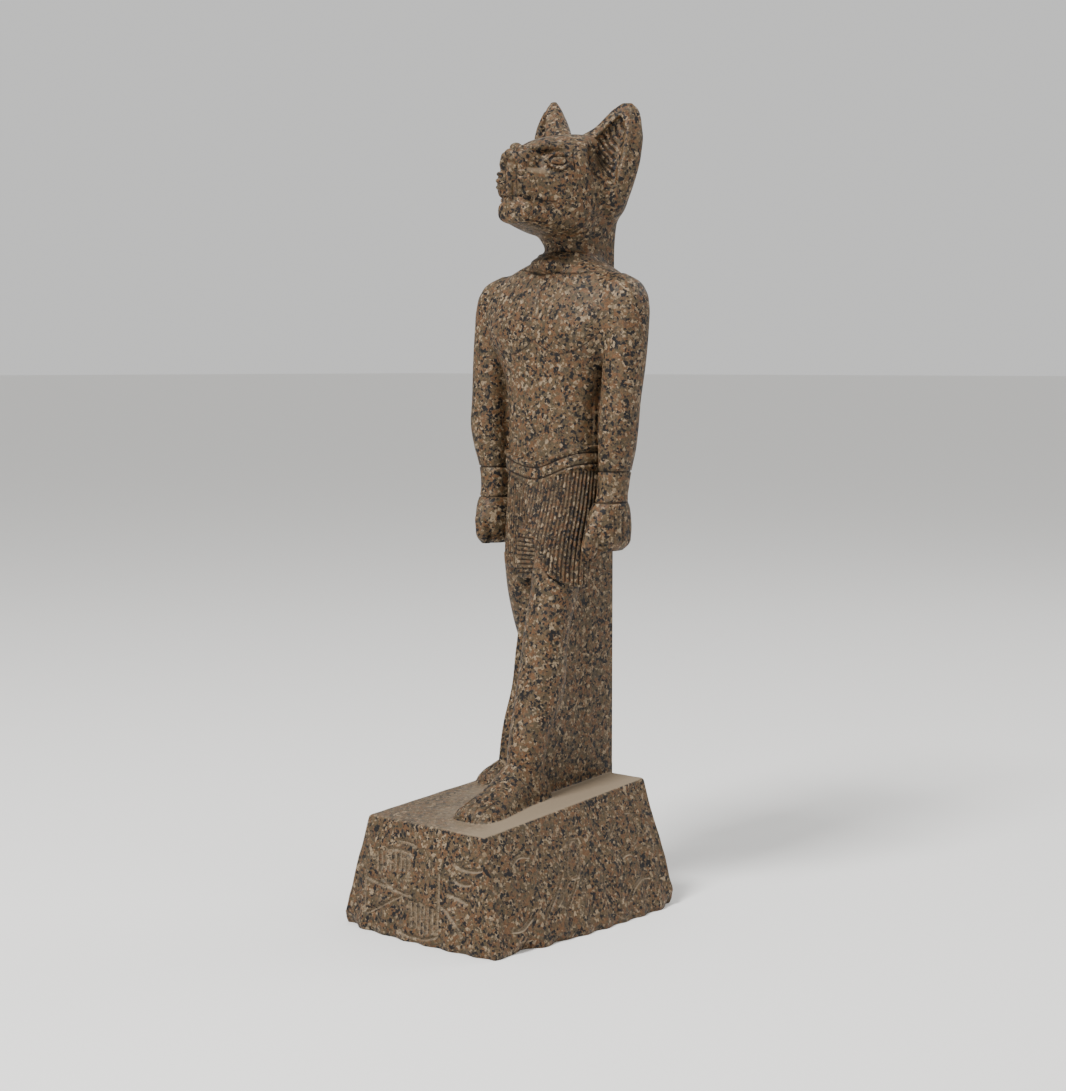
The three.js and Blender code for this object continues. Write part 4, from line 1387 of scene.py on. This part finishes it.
# Lines on the figure are darkened with painted shade, and the strokes on the base below it are pale
# fresh stone
FIGURE_STARTS = (0.056, 0.062)
PAINTED_SHADE_IN_LINES = 0.8
FRESH_IN_STROKES = 0.72
FRESH_COMES_IN = (0.3, 0.6)
POLISH = {"To Min": 0.46, "To Max": 0.66}
DUST_ROUGHNESS = 0.95
LINE_ROUGHNESS = 0.8
SPECULAR = 0.22
BUMP = {"fine": 0.9, "small": 0.25, "mica": 0.25, "depth": 0.00035, "most": 0.75, "less in dust": 0.6}
# Dust, with heights and places in metres; the face entries are for the top of the muzzle
DUST = {
    "facing up": (0.62, 0.93),
    "above base": (0.0008, 0.0035),
    "across": 14.0,
    "backward": 8.0,
    "middle": 0.55,
    "patchy": 0.6,
    "depth": (0.25, 1.0),
    "thick": 0.75,
    "thin": 0.22,
    "face up": (0.45, 0.8),
    "face low": (0.355, 0.36),
    "face high": (0.366, 0.37),
    "face back": (0.02, 0.026),
    "face": 0.5,
    "even": 0.86,
    "uneven": 0.25,
}


class Shader:
    """A material's node tree, with short ways to add its nodes."""

    def __init__(self, name):
        self.material = bpy.data.materials.new(name)
        self.material.use_nodes = True
        self.tree = self.material.node_tree
        self.surface = self.tree.nodes["Principled BSDF"]

    def node(self, kind, inputs=None, **settings):
        node = new_node(self.tree, kind, **settings)
        for key, value in (inputs or {}).items():
            if isinstance(value, bpy.types.NodeSocket):
                self.tree.links.new(value, node.inputs[key])
            else:
                node.inputs[key].default_value = value
        return node

    def math(self, operation, a, b=0.0, clamp=False):
        settings = {"operation": operation, "use_clamp": clamp}
        return self.node("ShaderNodeMath", {0: a, 1: b}, **settings).outputs[0]

    def vector(self, operation, inputs):
        return self.node("ShaderNodeVectorMath", inputs, operation=operation).outputs[0]

    def fade(self, value, low, high):
        """Rises smoothly from 0 at low to 1 at high."""
        inputs = {"Value": value, "From Min": low, "From Max": high}
        ramp = self.node("ShaderNodeMapRange", inputs, interpolation_type="SMOOTHSTEP")
        return ramp.outputs["Result"]

    def blend(self, share, a, b, kind="MIX"):
        node = self.node("ShaderNodeMix", data_type="RGBA", blend_type=kind)
        for key, value in ((0, share), (6, a), (7, b)):
            if isinstance(value, bpy.types.NodeSocket):
                self.tree.links.new(value, node.inputs[key])
            else:
                node.inputs[key].default_value = value if key == 0 else (*value, 1.0)
        return node.outputs[2]

    def tint(self, share, strength, colour, name):
        """Lays one of the colours in GRAINS over what is there: a colour of the stone, pale fresh
        stone, or the painted shade in grooves.
        """
        return self.blend(self.math("MULTIPLY", share, strength), colour, GRAINS[name])

    def noise(self, place, scale, detail=2.0, roughness=0.5):
        inputs = {"Vector": place, "Scale": scale, "Detail": detail, "Roughness": roughness}
        return self.node("ShaderNodeTexNoise", inputs)

    def grains(self, place, size):
        """Three random numbers for each grain of about the given size."""
        node = self.node("ShaderNodeTexVoronoi", {"Vector": place, "Scale": 1 / size})
        return self.node("ShaderNodeSeparateColor", {0: node.outputs["Color"]}).outputs

    def drive(self, name, value):
        self.tree.links.new(value, self.surface.inputs[name])


def granite_material():
    g = Shader("speckled_granite")
    place = g.node("ShaderNodeTexCoord").outputs["Object"]
    mm = g.vector("SCALE", {0: place, "Scale": 1 / MM})
    wander = g.noise(mm, *NOISES["wander"]).outputs["Color"]
    centred = g.vector("SUBTRACT", {0: wander, 1: (0.5, 0.5, 0.5)})
    bent = g.vector("ADD", {0: mm, 1: g.vector("SCALE", {0: centred, "Scale": GRAIN_PUSH})})
    feldspar, small, mica = (g.grains(bent, size) for size in GRAIN_SIZES)
    patches = g.noise(mm, *NOISES["patches"]).outputs["Fac"]
    clusters = g.noise(mm, *NOISES["clusters"]).outputs["Fac"]
    fine = g.noise(mm, *NOISES["fine"]).outputs["Fac"]
    colour = g.blend(g.fade(feldspar[0], *TAN_COMES_IN), GRAINS["olive"], GRAINS["tan"])
    rusty = g.math("ADD", feldspar[1], g.math("MULTIPLY", patches, RUST_IN_PATCHES))
    numbers = (rusty, feldspar[2], small[1], small[0])
    for number, (name, low, high, strength) in zip(numbers, LAYERS):
        colour = g.tint(g.fade(number, low, high), strength, colour, name)
    dark = 0.0
    for number, (in_clusters, low, high) in zip((mica[0], small[2]), MICA_LAYERS):
        speck = g.math("ADD", number, g.math("MULTIPLY", clusters, in_clusters))
        dark = g.math("MAXIMUM", dark, g.fade(speck, low, high))
    colour = g.blend(dark, colour, GRAINS["mica"])
    shade = g.node("ShaderNodeMapRange", {"Value": fine, **FINE_SHADE}).outputs[0]
    grey = g.node("ShaderNodeCombineColor", {0: shade, 1: shade, 2: shade})
    colour = g.blend(1.0, colour, grey.outputs[0], "MULTIPLY")
    cut = g.node("ShaderNodeAttribute", attribute_name="cut").outputs["Fac"]
    up = g.node("ShaderNodeSeparateXYZ", {0: place}).outputs["Z"]
    figure = g.fade(up, *FIGURE_STARTS)
    # Painted shade: grooves on the figure are darkened towards the shade colour
    colour = g.tint(g.math("MULTIPLY", cut, figure), PAINTED_SHADE_IN_LINES, colour, "shade")
    worn = g.math("MULTIPLY", cut, g.fade(fine, *FRESH_COMES_IN))
    worn = g.math("MULTIPLY", worn, g.math("SUBTRACT", 1.0, figure))
    colour = g.tint(worn, FRESH_IN_STROKES, colour, "fresh")
    dust = dust_share(g, place, fine)
    g.drive("Base Color", g.blend(dust, colour, GRAINS["dust"]))
    polish = g.node("ShaderNodeMapRange", {"Value": feldspar[2], **POLISH}).outputs[0]
    rough = g.math("MAXIMUM", polish, g.math("MULTIPLY", dust, DUST_ROUGHNESS))
    rough = g.math("MAXIMUM", rough, g.math("MULTIPLY", cut, LINE_ROUGHNESS))
    g.drive("Roughness", rough)
    g.surface.inputs["Specular IOR Level"].default_value = SPECULAR
    height = g.math("MULTIPLY", fine, BUMP["fine"])
    height = g.math("ADD", height, g.math("MULTIPLY", small[1], BUMP["small"]))
    height = g.math("SUBTRACT", height, g.math("MULTIPLY", dark, BUMP["mica"]))
    strength = g.math("SUBTRACT", BUMP["most"], g.math("MULTIPLY", dust, BUMP["less in dust"]))
    inputs = {"Height": height, "Distance": BUMP["depth"], "Strength": strength}
    g.drive("Normal", g.node("ShaderNodeBump", inputs).outputs["Normal"])
    return g.material


def dust_share(g, place, fine):
    """Dust on what faces up: thick on the base beside the foot, thin at its far front corner."""
    normal = g.node("ShaderNodeNewGeometry").outputs["Normal"]
    up = g.node("ShaderNodeSeparateXYZ", {0: normal}).outputs["Z"]
    spot = g.node("ShaderNodeSeparateXYZ", {0: place}).outputs
    tilt = g.math("MULTIPLY", spot["Y"], BASE_SLOPE)
    above = g.math("SUBTRACT", g.math("SUBTRACT", spot["Z"], BASE_HEAD["z"] * MM), tilt)
    low = g.math("SUBTRACT", 1.0, g.fade(above, *DUST["above base"]))
    reach = g.math("MULTIPLY", spot["X"], DUST["across"])
    reach = g.math("ADD", reach, g.math("MULTIPLY", spot["Y"], DUST["backward"]))
    patchy = g.math("MULTIPLY", g.noise(place, *NOISES["dust"]).outputs["Fac"], DUST["patchy"])
    depth = g.math("ADD", g.math("ADD", reach, DUST["middle"]), patchy)
    thick = g.math("MULTIPLY", g.fade(depth, *DUST["depth"]), DUST["thick"])
    thick = g.math("ADD", thick, DUST["thin"])
    base = g.math("MULTIPLY", g.math("MULTIPLY", g.fade(up, *DUST["facing up"]), low), thick)
    face = g.math("MULTIPLY", g.fade(up, *DUST["face up"]), g.fade(spot["Z"], *DUST["face low"]))
    for axis, name in (("Z", "face high"), ("Y", "face back")):
        face = g.math("MULTIPLY", face, g.math("SUBTRACT", 1.0, g.fade(spot[axis], *DUST[name])))
    total = g.math("MAXIMUM", base, g.math("MULTIPLY", face, DUST["face"]))
    uneven = g.math("ADD", DUST["even"], g.math("MULTIPLY", fine, DUST["uneven"]))
    return g.math("MULTIPLY", total, uneven, clamp=True)


# Where the camera stands and looks, in metres and degrees, and its lens in pixels of the photograph
CAMERA = {"azimuth": 42.263, "distance": 1.007452, "height": 0.270375, "pan": 0.59, "tilt": 5.004}
FOCAL_PIXELS = 2079.909
PHOTO_ROWS = 1091
SENSOR = 36.0


def camera():
    azimuth = math.radians(CAMERA["azimuth"])
    distance = CAMERA["distance"]
    data = bpy.data.cameras.new("camera")
    data.sensor_fit = "VERTICAL"
    data.sensor_height = SENSOR
    data.sensor_width = SENSOR
    data.lens = SENSOR * FOCAL_PIXELS / PHOTO_ROWS
    eye = bpy.data.objects.new("camera", data)
    eye.location = (distance * math.sin(azimuth), -distance * math.cos(azimuth), CAMERA["height"])
    down = math.radians(CAMERA["tilt"])
    eye.rotation_euler = (math.pi / 2 - down, 0, azimuth - math.radians(CAMERA["pan"]))
    bpy.context.scene.collection.objects.link(eye)
    bpy.context.scene.camera = eye


FLOOR = {"size": 40.0, "colour": (0.82, 0.81, 0.79), "roughness": 0.85}
WORLD = {"Color": (0.95, 0.95, 0.94, 1), "Strength": 0.8}
# Lamps as (name, place, size, power), all aimed at the figure's middle
LAMPS = [
    ("key", (0.05, -1.0, 1.45), 0.4, 44),
    ("fill", (1.5, 0.2, 0.9), 1.0, 6),
    ("rim", (0.4, 1.3, 1.3), 0.8, 8),
]
LAMP_AIM = (0, 0, 0.22)


def plain_material(name, colour, roughness):
    material = bpy.data.materials.new(name)
    material.use_nodes = True
    shader = material.node_tree.nodes["Principled BSDF"]
    shader.inputs["Base Color"].default_value = (*colour, 1)
    shader.inputs["Roughness"].default_value = roughness
    return material


def studio():
    mesh = bpy.data.meshes.new("floor")
    form = bmesh.new()
    bmesh.ops.create_grid(form, x_segments=1, y_segments=1, size=FLOOR["size"])
    form.to_mesh(mesh)
    form.free()
    floor = bpy.data.objects.new("floor", mesh)
    floor.data.materials.append(plain_material("pale_floor", FLOOR["colour"], FLOOR["roughness"]))
    bpy.context.scene.collection.objects.link(floor)
    world = bpy.data.worlds.new("studio")
    world.use_nodes = True
    for name, value in WORLD.items():
        world.node_tree.nodes["Background"].inputs[name].default_value = value
    bpy.context.scene.world = world
    for name, place, size, power in LAMPS:
        light = bpy.data.lights.new(name, "AREA")
        light.size = size
        light.energy = power
        lamp = bpy.data.objects.new(name, light)
        lamp.location = place
        look = Vector(LAMP_AIM) - Vector(place)
        lamp.rotation_euler = look.to_track_quat("-Z", "Y").to_euler()
        bpy.context.scene.collection.objects.link(lamp)


camera()
studio()
granite = granite_material()
body = stone_object(carve())
chisel(body, granite)
thin(body)
body.data.materials.clear()
body.data.materials.append(granite)
body.data.polygons.foreach_set("use_smooth", [True] * len(body.data.polygons))
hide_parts("statuette")
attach(body, "root")
